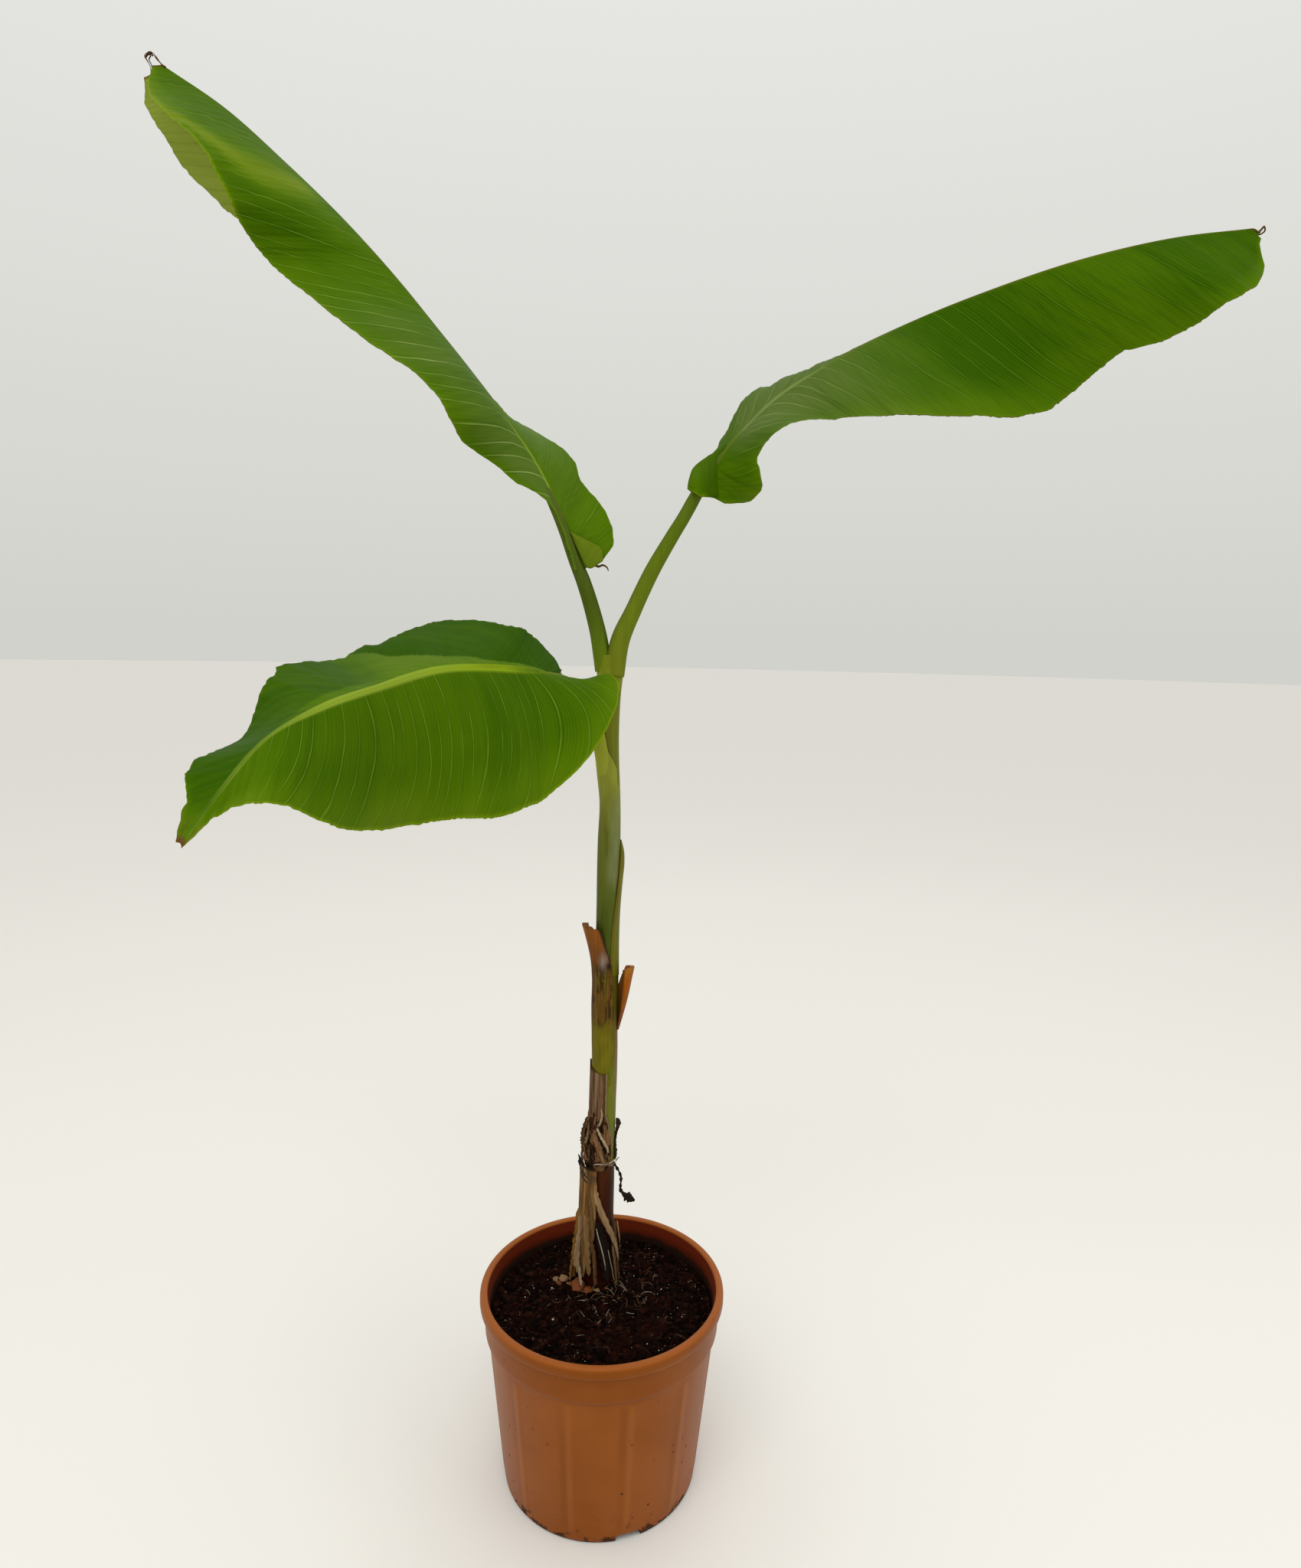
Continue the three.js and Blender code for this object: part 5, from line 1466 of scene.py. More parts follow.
for name, halves, rows, near, gain, seed, paint, folds, size in (
    ("left", ("leaf_left_front_half", "leaf_left_back_half"), LEAF_LEFT, -1, 20, 301, paint_left, None, dict(wave=0.55, rate=0.60, veer=veer_left, strong=strong_left)),
    ("right", ("leaf_right_front_half", "leaf_right_back_half"), LEAF_RIGHT, 1, 20, 302, paint_right, None, dict(wave=0.55, sweep_add=[still, lobe_sweep], rate=0.55, veer=veer_right, strong=strong_right)),
    ("front", ("leaf_front_lower_half", "leaf_front_upper_half"), LEAF_FRONT, -1, 15, 303, paint_front, [crease_fold, flat], dict(nt=420, columns=38, wave=0.6, rate=0.80, veer=veer_front, strong=strong_front)),
):
    scales = (margin_scale(name + " far", seed + 20, 0.008 if name == "front" else 0.004), margin_scale(name + " near", seed + 21))
    ob, parts = build_leaf("leaf_" + name + "_blade", rows, near, gain, seed, paint, scales, folds, **size)
    leaf_parts[name] = parts
    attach(ob, "root")
    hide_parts(*halves)


def through(p, y0, y):
    """A point of the plane y0, moved along the line from the eye to the plane y. Millimetres."""
    eye = np.array([47.1, -1116.8, 1028.0])
    p = np.array([p[0], y0, p[1]], float)
    return eye + (p - eye) * (y - eye[1]) / (y0 - eye[1])


def path(points, n):
    """A smooth line through points, n stations long."""
    p = np.asarray(points, float)
    rows = [[i, *x] for i, x in enumerate(p)]
    u = np.linspace(0, len(p) - 1, n)
    return np.stack([track(rows, k)(u) for k in (1, 2, 3)], -1)


def patch(b, upper, lower, thick, bulge, paint, axis=(0, -1, 0), nr=30, nc=12, mats=(0, 0, 0), box=(0, 0, 1, 1)):
    """A small curved flap of blade between two smooth edges."""
    up, lo = path(upper, nr), path(lower, nr)
    q = np.linspace(0, 1, nc)
    g = up[:, None] * (1 - q)[None, :, None] + lo[:, None] * q[None, :, None]
    g = g + np.array(axis, float) * (bulge * np.sin(np.pi * q))[None, :, None]
    run = np.concatenate([[0], np.cumsum(np.linalg.norm(np.diff(up, axis=0), axis=1))])
    wide = np.linalg.norm(up - lo, axis=1)
    vec = np.stack([np.repeat(run[:, None], nc, 1) * MM, wide[:, None] * q[None, :] * MM, np.full((nr, nc), 0.25)], -1)
    n = np.array(axis, float) * thick / 2
    b.plate((g + n) * MM, (g - n) * MM, np.broadcast_to(np.asarray(paint, float), (nr, nc, 4)), vec, flip=True, box=box, mats=mats)


# The left blade's foot: a corner of it is folded down and shows its pale underside.
b = Build()
at = lambda x, z, y=-11.0: through((x, z), -30, y)
patch(b, [at(-45, 1144, -9), at(-27.8, 1136, -10), at(-11.2, 1127, -11), at(-8.8, 1114, -11)],
      [at(-44, 1142, -9), at(-36.5, 1126, -12), at(-25, 1106, -13), at(-10, 1113, -11.5)], 0.7, 1.6, (0.0, 0.42, 0.0, 0.0))
ob = b.object("leaf_left_folded_corner", [leaf_under])
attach(ob, "root")

# The right blade's foot: its near half wraps forwards over the end of the stalk.
b = Build()
q = np.linspace(0, 1, 14)[None, :] + np.zeros((34, 1))
crinkle = 0.5 + 0.5 * np.sin(np.linspace(0, 26, 34))[:, None]
run = np.linspace(0, 1, 34)[:, None]
foot_paint = stack_paint(0.12 * smooth01(q, 0.75, 0.2), 0.46 - 0.22 * smooth01(run, 0.2, 0.8), 0 * q, 0.60 * smooth01(q, 0.92 - 0.04 * crinkle, 0.99) * smooth01(run, 0.75, 0.5))
patch(b, [at(80.7, 1197.8, -10), at(84.8, 1211.3, -11), at(93.6, 1220.1, -12), at(104.8, 1227.4, -9), at(119.5, 1238.0, 1)],
      [at(81.7, 1192.3, -11), at(86.7, 1187.6, -13), at(96.2, 1183.0, -14), at(106.8, 1183.8, -9), at(124, 1184, 3)], 0.7, 3.0, foot_paint, nr=34, nc=14)
ob = b.object("leaf_right_wrapped_foot", [leaf_top])
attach(ob, "root")

# Dry ends of the tips: a twisted thread on the left, a small curl on the right.
b = Build()
b.tube(path([(-489, 38, 1628.5), (-492.8, 38, 1631.5), (-496.7, 38, 1635.9), (-499, 38, 1638.9), (-501.3, 38, 1641.8), (-504.5, 38, 1643.3), (-507.9, 38, 1642.4),
             (-510.5, 38, 1639.4), (-507.5, 37, 1634.2), (-504.5, 37, 1628.2), (-504, 37, 1622.2)], 60) * MM,
       (0.75 + 0.25 * np.cos(np.linspace(0, 25, 60))) * np.linspace(1.25, 0.55, 60) * MM, 6, col=(0.10, 0.045, 0.014, 1), box=(0, 0, 0.5, 0.5))
b.tube(path([(-502, 38.6, 1640), (-505.5, 38.8, 1642.6), (-509.7, 38.8, 1638.7), (-507.9, 39, 1641.7), (-504.7, 39, 1640.3), (-506.5, 39, 1636.5), (-504.4, 39, 1631.3), (-503, 39, 1625.3)], 50) * MM,
       np.linspace(0.9, 0.45, 50) * MM, 6, col=(0.05, 0.022, 0.008, 1), box=(0, 0.5, 0.25, 1))
b.tube(path([through(x, -30, -10) for x in ((-20.5, 1112.5), (-14.5, 1108.0), (-9.0, 1109.5), (-4.5, 1107.0), (-3.0, 1103.5))], 26) * MM,
       np.linspace(1.7, 0.5, 26) * MM, 8, col=(0.075, 0.045, 0.012, 1), box=(0.25, 0.5, 0.5, 1))
b.tube(path([(611, -99, 1432.4), (617, -100, 1432.8), (621.7, -100, 1430.8), (624.4, -100, 1433), (627, -100, 1435.8), (628.1, -100, 1432.3), (625.5, -100, 1429.5), (622.7, -100, 1428.1)], 50) * MM,
       np.linspace(1.3, 0.6, 50) * MM, 6, col=(0.09, 0.06, 0.014, 1), box=(0.5, 0, 1, 0.5))
ob = b.object("leaf_dry_tips", [dry_look])
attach(ob, "root")

# Old cut petioles and loose sheaths
STUB_LEFT = [
    [506, 166, 300, 0.15, 0.4], [535, 165, 306, 0.2, 0.5], [560, 165, 310, 0.35, 1.2], [600, 166, 311, 0.6, 2.0], [635, 168, 308, 0.7, 2.4],
    [655, 168, 296, 1.8, 3.2], [672, 166, 276, 4.2, 4.2], [688, 164, 260, 7.6, 5.0], [700, 162, 250, 10.6, 5.4],
]
STUB_RIGHT = [
    [572, -22, 75, 0.0, 1.2], [582, -26, 72, 1.8, 2.2], [596, -30, 66, 4.8, 3.0], [618, -36, 52, 9.2, 3.8], [636, -38, 40, 12.0, 4.6], [650, -40, 30, 14.2, 5.2],
]
SHEATH_FLAP = [
    [640, -68, 80, 0.20, 1.0], [690, -62, 75, 0.2, 1.2], [720, -48, 70, 0.2, 2.0], [755, -32, 55, 0.2, 4.6], [775, -24, 40, 0.2, 6.4], [788, -18, 30, 0.2, 5.4], [801, -8, 20, 0.0, 1.2],
]
DRY_SHEATH_MID = [
    [404, 158, 296, 0.6, 1.2], [440, 156, 292, 0.8, 1.3], [470, 156, 284, 1.0, 1.4],
    [500, 157, 282, 1.1, 1.4], [515, 158, 283, 1.2, 1.3], [524, 160, 283, 1.4, 1.2],
]
DRY_SHEATH_LOW = [
    [262, 168, 250, 5.0, 1.4], [290, 162, 256, 5.0, 1.6], [320, 158, 262, 5.2, 1.7],
    [350, 156, 264, 5.6, 1.7], [378, 156, 262, 6.4, 1.6], [399, 158, 258, 7.6, 1.4],
]
SHRED = [(11.1, 401.1), (15.9, 393.2), (19.8, 385.3), (20.8, 376.3), (20, 367.3), (22.9, 361.3), (27.7, 357.4), (33.4, 353.5), (38.1, 351.6)]


def blend(c, colour, gain):
    return c + (np.array(colour) - c) * np.clip(gain, 0, 1)[..., None]


def stub_left_paint(Z, A, q):
    q = q[None, :] + 0 * Z
    n = noise2(Z / 15, A / 20, 51, 3)
    fibre = noise2(Z / 60, A / 4.5, 57, 3)
    c = lerp_colour([(530, (0.150, 0.130, 0.004)), (578, (0.140, 0.110, 0.004)), (590, (0.115, 0.055, 0.006)), (620, (0.120, 0.052, 0.007)), (650, (0.100, 0.040, 0.006)), (664, (0.170, 0.055, 0.008)), (704, (0.250, 0.075, 0.010))], Z)
    # mottled brown over olive, a paler left edge, a film of wax and a black scar
    c = blend(c, (0.024, 0.009, 0.002), 0.82 * smooth01(n, 0.0, 0.32) * smooth01(Z, 570, 590) * smooth01(Z, 662, 648))
    c = blend(c, (0.045, 0.018, 0.006), 0.85 * smooth01(q, 0.90, 0.97) * smooth01(Z, 655, 668))
    c = blend(c, (0.145, 0.120, 0.010), 0.7 * smooth01(fibre, 0.1, 0.4) * smooth01(Z, 660, 640) * smooth01(q, 0.25, 0.5))
    c = blend(c, (0.175, 0.085, 0.028), 0.7 * smooth01(q, 0.22, 0.06) * smooth01(Z, 530, 560) * smooth01(Z, 668, 650))
    c = blend(c, (0.060, 0.026, 0.004), 0.7 * line_at(q, 0.27, 0.03) * smooth01(Z, 540, 560))
    c = blend(c, (0.250, 0.215, 0.180), 0.75 * bell(Z, 661, 9) * bell(A, 262, 15))
    c = blend(c, (0.004, 0.003, 0.002), 0.95 * bell(Z, 655, 5) * bell(A, 282, 13))
    c = blend(c, (0.020, 0.010, 0.004), 0.85 * smooth01(q, 0.955, 0.985) * smooth01(Z, 640, 660))
    c = blend(c, (0.080, 0.030, 0.006), 0.35 * smooth01(fibre, 0.0, 0.5) * smooth01(Z, 664, 680))
    c = blend(c, (0.400, 0.200, 0.070), 0.55 * smooth01(q, 0.12, 0.02) * smooth01(Z, 664, 684))
    c = c * (1 + 0.20 * n)[..., None]
    return rgba(np.clip(c, 0, 1))


def stub_right_paint(Z, A, q):
    q = q[None, :] + 0 * Z
    n = noise2(Z / 20, A / 10, 52, 3)
    c = lerp_colour([(568, (0.130, 0.050, 0.010)), (592, (0.215, 0.062, 0.003)), (615, (0.300, 0.082, 0.001)), (638, (0.325, 0.086, 0.001)), (652, (0.360, 0.130, 0.012))], Z)
    c = blend(c, (0.060, 0.022, 0.006), 0.9 * smooth01(q, 0.045, 0.015) * smooth01(Z, 575, 600))
    # a painted highlight along the stub's right edge
    c = blend(c, (0.330, 0.120, 0.020), 0.5 * bell(q, 0.42, 0.10) * smooth01(Z, 600, 640))
    return rgba(np.clip(c * (1 + 0.22 * n)[..., None], 0, 1))


def flap_paint(Z, A, q):
    q = q[None, :] + 0 * Z
    c = lerp_colour([(640, (0.125, 0.125, 0.006)), (700, (0.125, 0.130, 0.010)), (760, (0.130, 0.145, 0.014)), (799, (0.110, 0.140, 0.014))], Z)
    c = blend(c, (0.190, 0.085, 0.012), 0.85 * smooth01(q, 0.035, 0.010))
    c = blend(c, (0.060, 0.028, 0.004), 0.6 * line_at(q, 0.050, 0.010) * smooth01(Z, 770, 740))
    c = blend(c, (0.200, 0.215, 0.060), 0.45 * bell(q, 0.22, 0.07) * smooth01(Z, 690, 760))
    return rgba(np.clip(c, 0, 1))


def mid_paint(Z, A, q):
    q = q[None, :] + 0 * Z
    n = noise2(Z / 30, A / 7, 71, 3)
    fibre = noise2(Z / 70, A / 3.2, 76, 3)
    c = np.array([0.090, 0.044, 0.020]) + (np.array([0.215, 0.120, 0.062]) - np.array([0.090, 0.044, 0.020])) * smooth01(n, -0.5, 0.5)[..., None]
    c = blend(c, (0.035, 0.015, 0.007), 0.75 * smooth01(fibre, 0.10, 0.5))
    c = blend(c, (0.300, 0.210, 0.125), 0.6 * line_at(A, 238, 6) * smooth01(Z, 460, 490))
    c = blend(c, (0.330, 0.250, 0.150), 0.8 * smooth01(q, 0.965, 0.985))
    c = blend(c, (0.040, 0.018, 0.008), 0.75 * smooth01(Z, 519, 523.5))
    c = blend(c, (0.030, 0.014, 0.008), 0.7 * smooth01(noise2(Z / 14, A / 12, 79, 3), 0.05, 0.4) * smooth01(Z, 465, 440))
    return rgba(np.clip(c, 0, 1))


def low_paint(Z, A, q):
    q = q[None, :] + 0 * Z
    n = noise2(Z / 40, A / 8, 72, 3)
    fibre = noise2(Z / 90, A / 3.0, 77, 3)
    c = np.array([0.150, 0.070, 0.018]) + (np.array([0.310, 0.175, 0.066]) - np.array([0.150, 0.070, 0.018])) * smooth01(n, -0.45, 0.45)[..., None]
    c = blend(c, (0.070, 0.032, 0.012), 0.55 * smooth01(fibre, 0.15, 0.5))
    c = blend(c, (0.022, 0.012, 0.010), 0.85 * smooth01(q, 0.13, 0.04) * smooth01(Z, 330, 385))
    c = blend(c, (0.060, 0.045, 0.035), 0.7 * smooth01(Z, 372, 390) * smooth01(noise2(Z / 9, A / 12, 78, 3), -0.2, 0.3))
    c = blend(c, (0.010, 0.006, 0.005), 0.95 * smooth01(Z, 394, 398))
    c = blend(c, (0.230, 0.105, 0.022), 0.7 * smooth01(q, 0.10, 0.03) * smooth01(Z, 340, 300))
    return rgba(np.clip(c, 0, 1))


def fork(*stops):
    """A ragged end: how far each strand reaches, by angle."""
    a, h = [x[0] for x in stops], [x[1] for x in stops]
    return lambda A: np.interp(A, a, h)


TAN, CREAM, BROWN, BLACK = (0.235, 0.140, 0.060), (0.400, 0.300, 0.190), (0.100, 0.050, 0.022), (0.012, 0.008, 0.006)
ORANGE = (0.235, 0.110, 0.022)

plates = {}
for name, rows, paint, kw in (
    ("stub_left", STUB_LEFT, stub_left_paint, dict(nz=110, na=60, ragged=0.8, ripple=0.3, seed=61, lean=178, top_end=fork((160, 0), (176, 1), (215, 1), (252, -3)))),
    ("stub_right", STUB_RIGHT, stub_right_paint, dict(nz=80, na=44, ragged=0.6, ripple=0.15, seed=62, lean=-4, top_end=fork((-56, 0), (-35, 1.5), (0, 0), (30, -4)))),
    ("sheath_flap", SHEATH_FLAP, flap_paint, dict(nz=110, na=60, ragged=0.4, ripple=0.08, seed=63, edge=0.7)),
    ("dry_sheath_mid", DRY_SHEATH_MID, mid_paint, dict(nz=110, na=80, ragged=0.8, ripple=0.35, seed=64, box=(0, 0, 1, 0.5), top_end=fork((158, 4), (178, 9), (184, 9), (188, 2), (230, -1), (262, -5), (283, -3)))),
    ("dry_sheath_low", DRY_SHEATH_LOW, low_paint, dict(nz=140, na=80, ragged=0.8, ripple=0.5, seed=65, box=(0, 0, 1, 0.5), low_end=fork((160, -34), (176, -30), (184, -6), (200, -2), (204, 24), (210, 24), (214, -12), (232, -18), (240, 4), (250, 10)))),
):
    b = Build()
    sheath_plate(b, rows, paint=paint, **kw)
    plates[name] = b

# The scraggly middle: torn, curled strips one over another.
b = plates["dry_sheath_mid"]


def crumpled_paint(Z, A, q):
    n = noise2(Z / 9, A / 14, 81, 4)
    m = noise2(Z / 5, A / 6, 82, 3)
    c = np.array([0.075, 0.028, 0.010]) + 0 * Z[..., None]
    c = blend(c, (0.170, 0.086, 0.036), smooth01(n, 0.02, 0.38))
    c = blend(c, (0.008, 0.004, 0.002), 0.95 * smooth01(n, -0.02, -0.30))
    c = blend(c, (0.330, 0.220, 0.120), 0.6 * line_at(n + 0.2 * m, 0.16, 0.030))
    c = blend(c, (0.006, 0.003, 0.002), 0.95 * line_at(n + 0.2 * m, -0.02, 0.06))
    return rgba(np.clip(c, 0, 1))


sheath_plate(b, [[393, 166, 292, 0.8, 1.4], [402, 160, 300, 2.6, 1.6], [420, 158, 304, 4.2, 1.8], [438, 158, 300, 4.4, 1.8], [452, 158, 292, 3.0, 1.6], [464, 160, 284, 1.2, 1.2]],
             nz=120, na=150, ragged=2.5, ripple=1.9, seed=83, paint=crumpled_paint, box=cell(20, 5, 5))
k = 0
for rows, thick, colour, seed, kw in (
    ([(460, 196, 2.6, 4), (448, 190, 5.2, 5), (436, 186, 6.6, 6), (424, 188, 6.4, 6), (410, 192, 5.0, 4)], 0.7, BROWN, 401, dict(curl=0.5, roll=50)),
    ([(456, 214, 3.4, 3), (446, 224, 6.0, 4), (434, 220, 6.6, 4), (424, 210, 6.4, 4), (414, 206, 4.6, 3)], 0.6, TAN, 402, dict(curl=0.7, twist=70)),
    ([(446, 238, 4.0, 5), (438, 252, 6.4, 7), (428, 264, 7.2, 8), (418, 268, 6.6, 7), (408, 262, 4.8, 4)], 0.7, (0.190, 0.100, 0.046), 403, dict(curl=0.45)),
    ([(454, 250, 3.6, 2.6), (442, 268, 6.4, 3.2), (430, 284, 7.0, 3.4), (420, 290, 6.4, 3.0), (410, 282, 4.6, 2.4)], 0.6, CREAM, 404, dict(curl=0.6, twist=60, roll=20)),
    ([(440, 184, 4.6, 2.4), (437, 198, 6.4, 2.8), (434, 214, 6.8, 2.8), (438, 226, 5.8, 2.2)], 0.6, CREAM, 405, dict(curl=0.4)),
    ([(446, 204, 6.0, 1.8), (434, 206, 7.2, 2.0), (420, 216, 6.8, 2.0), (408, 226, 5.0, 1.6)], 0.6, (0.020, 0.010, 0.006), 406, dict(curl=0.4)),
    ([(432, 236, 6.8, 2.2), (422, 246, 7.6, 2.4), (412, 250, 7.0, 2.4), (402, 244, 5.0, 2.0)], 0.6, (0.025, 0.012, 0.007), 407, dict(curl=0.2)),
    ([(426, 262, 7.0, 3.4), (417, 272, 7.8, 4.0), (409, 280, 7.2, 3.6), (405, 292, 5.4, 2.4)], 0.6, TAN, 408, dict(curl=0.6, twist=-50)),
    ([(466, 286, 1.8, 2.6), (454, 292, 2.8, 3.2), (442, 300, 3.4, 3.4), (430, 308, 3.8, 3.0), (420, 306, 3.2, 2.0)], 0.6, (0.230, 0.165, 0.095), 409, dict(curl=0.4, twist=50)),
    ([(457, 350, 1.2, 4.5), (449, 352, 2.6, 8.0), (441, 350, 1.2, 4.2), (430, 346, 0.3, 2.6), (420, 344, 0.5, 3.4), (411, 345, 0.9, 4.2), (402, 346, 0.4, 2.4)], 1.4, (0.030, 0.014, 0.007), 410, dict(curl=0.3, roll=-30)),
    ([(478, 262, 1.6, 2.0), (468, 268, 2.6, 2.4), (458, 262, 3.4, 2.6), (450, 250, 3.4, 2.0)], 0.5, CREAM, 411, dict(curl=0.4, twist=50)),
    ([(472, 232, 1.6, 2.6), (460, 234, 3.0, 3.0), (450, 226, 4.6, 2.8), (442, 214, 5.4, 2.0)], 0.5, (0.030, 0.014, 0.008), 412, dict(curl=0.2)),
    ([(420, 176, 5.4, 3), (410, 184, 6.4, 4), (400, 196, 6.0, 4), (394, 208, 4.8, 3)], 0.6, (0.130, 0.065, 0.030), 414, dict(curl=0.5, roll=30)),
    ([(530, 292, 0.4, 3.0), (525, 294, 1.0, 4.4), (519, 294, 1.2, 4.6), (513, 293, 0.5, 3.0)], 0.8, (0.140, 0.150, 0.012), 413, dict(curl=-0.3, dark=0.2)),
):
    ribbon(b, rows, thick, colour, seed, cell(k), **kw)
    k += 1
b.tube(on_stem(np.array([403.5, 404.8, 403.6, 404.0, 405.4, 404.4, 402.0]), np.array([250.0, 268, 286, 304, 322, 342, 360]), np.array([5.2, 5.4, 4.6, 4.2, 4.0, 4.4, 5.0])) * MM, 0.75 * MM, 6, col=(0.50, 0.42, 0.34, 1), box=cell(k))
b.tube(on_stem(np.array([401.0, 399.6, 400.8, 402.4, 401.0]), np.array([296.0, 312, 328, 346, 364]), np.array([3.4, 3.2, 3.2, 4.0, 5.2])) * MM, 0.5 * MM, 6, col=(0.34, 0.26, 0.18, 1), box=cell(k + 1))

# The low sheath's strands, which reach down to the soil.
b = plates["dry_sheath_low"]
k = 0
for rows, thick, colour, seed, kw in (
    ([(334, 186, 5.6, 7), (305, 185, 7.0, 8), (280, 186, 8.4, 8.5), (256, 188, 9.6, 8.5), (231, 191, 10.8, 8)], 0.9, ORANGE, 421, dict(curl=-0.15, dark=0.35, roll=62)),
    ([(330, 206, 7.0, 8), (305, 208, 7.6, 9), (282, 211, 8.6, 9), (262, 215, 9.8, 8), (250, 219, 10.4, 6)], 0.9, (0.300, 0.190, 0.100), 422, dict(curl=-0.2)),
    ([(340, 232, 6.8, 9), (315, 236, 7.0, 10), (290, 241, 7.6, 9), (268, 247, 8.4, 7), (252, 252, 8.6, 5)], 0.9, (0.215, 0.120, 0.048), 423, dict(curl=-0.15)),
    ([(300, 196, 6.6, 5), (282, 198, 7.6, 6), (266, 200, 8.8, 6), (252, 203, 9.6, 4)], 0.8, (0.330, 0.215, 0.120), 435, dict(curl=-0.1, roll=35, dark=0.2)),
    ([(372, 258, 6.4, 5), (356, 266, 6.8, 6.5), (330, 288, 7.0, 7.5), (305, 312, 6.8, 6.5), (283, 331, 6.6, 5.5), (262, 341, 7.0, 4.5)], 0.9, (0.285, 0.180, 0.090), 424, dict(curl=-0.1, dark=0.3)),
    ([(326, 262, 4.6, 10), (305, 276, 4.0, 14), (285, 290, 4.0, 15), (262, 298, 4.4, 13), (240, 300, 5.0, 10)], 0.8, (0.014, 0.009, 0.008), 425, dict(curl=-0.2, dark=0.1)),
    ([(300, 256, 7.6, 4), (280, 262, 7.8, 5), (258, 266, 8.2, 5), (238, 268, 8.8, 4)], 0.8, (0.120, 0.060, 0.024), 426, dict(curl=0.2)),
    ([(318, 343, 4.4, 3.4), (300, 352, 5.4, 4.2), (284, 359, 6.4, 4.6), (270, 362, 6.6, 3.6)], 0.8, (0.330, 0.215, 0.110), 427, dict(curl=0.2)),
    ([(322, 330, 3.0, 5), (300, 334, 3.6, 6), (276, 338, 4.6, 6), (252, 340, 6.0, 5), (234, 338, 7.4, 4)], 0.8, (0.105, 0.045, 0.016), 428, dict(curl=0.2)),
    ([(290, 316, 5.4, 3), (268, 322, 6.2, 3.6), (248, 325, 7.0, 3.6), (230, 324, 8.0, 3)], 0.7, (0.170, 0.105, 0.055), 429, dict(curl=0.3, twist=40)),
    ([(262, 224, 9.2, 4), (248, 231, 10.4, 5), (236, 238, 11.2, 4)], 0.8, CREAM, 430, dict(curl=0.3)),
    ([(258, 190, 10.0, 6), (244, 194, 11.6, 7), (230, 200, 12.8, 6)], 0.8, (0.200, 0.080, 0.022), 431, dict(curl=0.2)),
    ([(378, 158, 7.8, 5), (392, 166, 9.2, 7), (401, 182, 10.0, 7), (399, 200, 8.8, 5)], 0.9, (0.014, 0.009, 0.007), 432, dict(curl=0.3, dark=0.1)),
    ([(396, 196, 8.0, 5), (388, 214, 8.2, 8), (382, 232, 7.4, 8), (384, 248, 6.4, 5)], 0.7, (0.070, 0.042, 0.026), 433, dict(curl=0.2)),
    ([(362, 240, 6.8, 3), (344, 250, 7.2, 4), (322, 256, 7.2, 4), (300, 259, 7.4, 3)], 0.7, (0.150, 0.085, 0.034), 434, dict(curl=0.3)),
):
    ribbon(b, rows, thick, colour, seed, cell(k), **kw)
    k += 1
b.tube(on_stem(np.array([318.0, 306, 294, 280, 268, 258]), np.array([266.0, 272, 279, 286, 291, 293]), np.array([6.6, 7.2, 7.2, 7.4, 7.4, 7.6])) * MM, np.array([0.4, 0.6, 0.7, 0.7, 0.6, 0.4]) * MM, 6, col=(0.44, 0.36, 0.26, 1), box=cell(k))
b.tube(on_stem(np.array([286.0, 272, 258, 246, 238]), np.array([300.0, 306, 312, 314, 318]), np.array([6.4, 7.0, 7.4, 8.4, 9.6])) * MM, np.array([0.4, 0.55, 0.6, 0.5, 0.35]) * MM, 6, col=(0.36, 0.28, 0.18, 1), box=cell(k + 1))

for name, look, slot_name in (
    ("stub_left", stub_look, "cut_stub"), ("stub_right", stub_look, "cut_stub"), ("sheath_flap", stem_look, "stem_green"),
    ("dry_sheath_mid", dry_look, "dry_sheath"), ("dry_sheath_low", dry_look, "dry_sheath"),
):
    ob = plates[name].object(name + "_skin", [look])
    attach(ob, "root")
    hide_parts(name)

# A dark twisted shred hangs from the middle sheath, thicker and crumpled at its end.
b = Build()
u = np.linspace(0, 1, 70)
c = path([(x, 4.0, z) for x, z in SHRED], 70)
b.tube(c * MM, (1.45 + 0.45 * np.sin(u * 60) * (u > 0.05) + 3.3 * bell(u, 0.82, 0.16) * (1 + 0.25 * np.sin(u * 85))) * np.clip(0.25 + 8 * (1 - u), 0, 1) * MM, 10, col=(0.018, 0.011, 0.008, 1),
       shape=lambda phi, k: 1 + 0.25 * np.sin(2 * phi + k * 0.4) + 0.12 * np.sin(5 * phi + k))
ob = b.object("dry_shred_strip", [dry_look])
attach(ob, "root")
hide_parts("dry_shred")

# ------------------------------------------------------------ floor and light

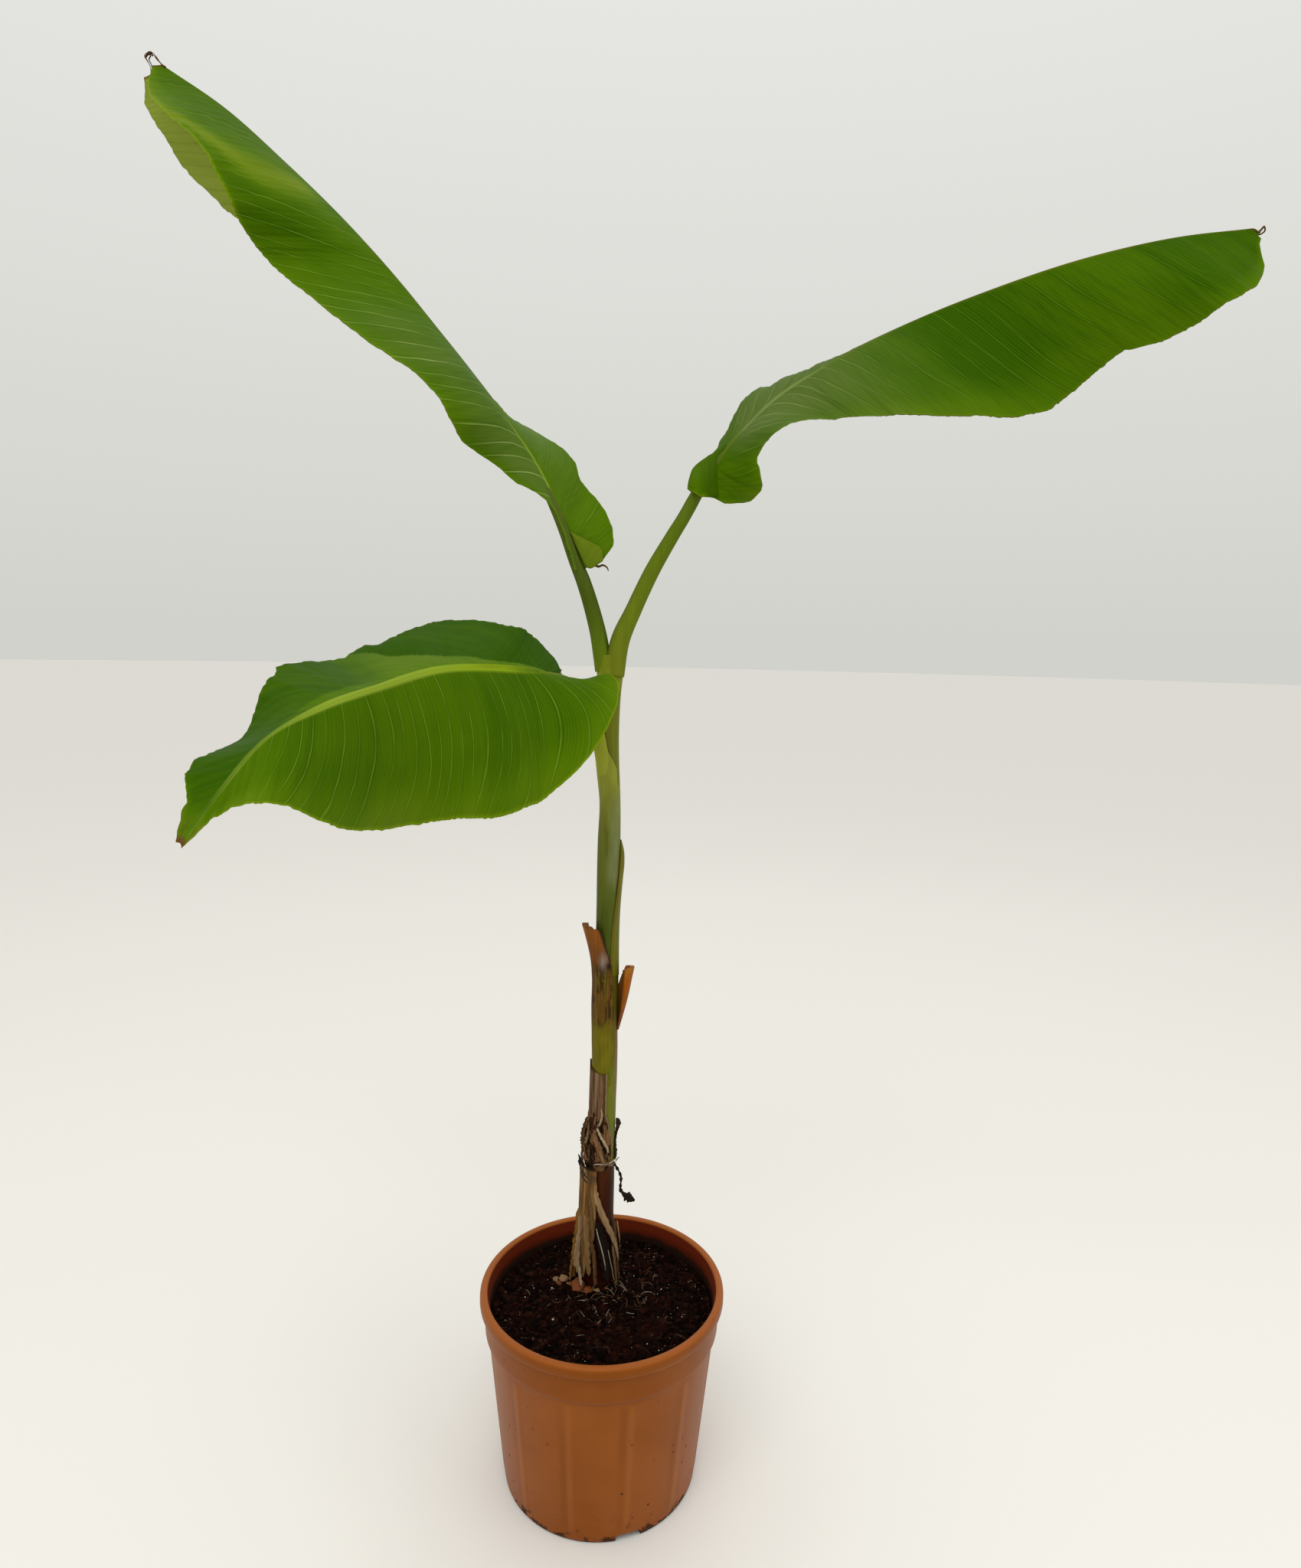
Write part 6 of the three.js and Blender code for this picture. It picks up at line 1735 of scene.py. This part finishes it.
bm = bmesh.new()
bmesh.ops.create_circle(bm, cap_ends=True, segments=96, radius=40.0)
me = bpy.data.meshes.new("floor")
bm.to_mesh(me)
bm.free()
floor = bpy.data.objects.new("floor", me)
scene.collection.objects.link(floor)
floor.location.z = -0.0004
k = Look("floor_pale", 0.8, 0.1)
me.materials.append(k.finish((0.86, 0.84, 0.80, 1)))

world = bpy.data.worlds.new("soft_sky")
world.use_nodes = True
wt = world.node_tree
sky = wt.nodes.new("ShaderNodeTexCoord")
sky_z = wt.nodes.new("ShaderNodeSeparateXYZ")
wt.links.new(sky.outputs["Generated"], sky_z.inputs[0])
sky_ramp = wt.nodes.new("ShaderNodeValToRGB")
wt.links.new(sky_z.outputs[2], sky_ramp.inputs[0])
sky_ramp.color_ramp.elements[0].position = 0.0
sky_ramp.color_ramp.elements[0].color = (0.70, 0.70, 0.66, 1)
sky_ramp.color_ramp.elements[1].position = 0.9
sky_ramp.color_ramp.elements[1].color = (0.98, 0.98, 0.95, 1)
wt.links.new(sky_ramp.outputs[0], wt.nodes["Background"].inputs[0])
wt.nodes["Background"].inputs[1].default_value = 0.92
scene.world = world


def area(name, at, aim, size, power, colour=(1, 1, 1)):
    d = bpy.data.lights.new(name, "AREA")
    d.shape = "RECTANGLE"
    d.size, d.size_y = size
    d.energy = power
    d.color = colour
    o = bpy.data.objects.new(name, d)
    scene.collection.objects.link(o)
    o.location = at
    o.rotation_euler = (Vector(aim) - Vector(at)).to_track_quat("-Z", "Y").to_euler()
    return o


area("key", (-0.5, -1.9, 3.3), (0, 0, 0.7), (2.2, 1.8), 34.0, (1.0, 0.99, 0.96))
area("fill", (2.2, -1.2, 2.4), (0, 0, 0.6), (1.6, 1.6), 7.0, (1.0, 1.0, 0.98))
area("back", (0.6, 2.4, 3.0), (0, 0, 0.9), (2.4, 1.6), 7.0, (1, 1, 1))

scene.view_settings.view_transform = "Standard"
scene.view_settings.look = "None"
scene.view_settings.exposure = 0.0
scene.view_settings.gamma = 1.0
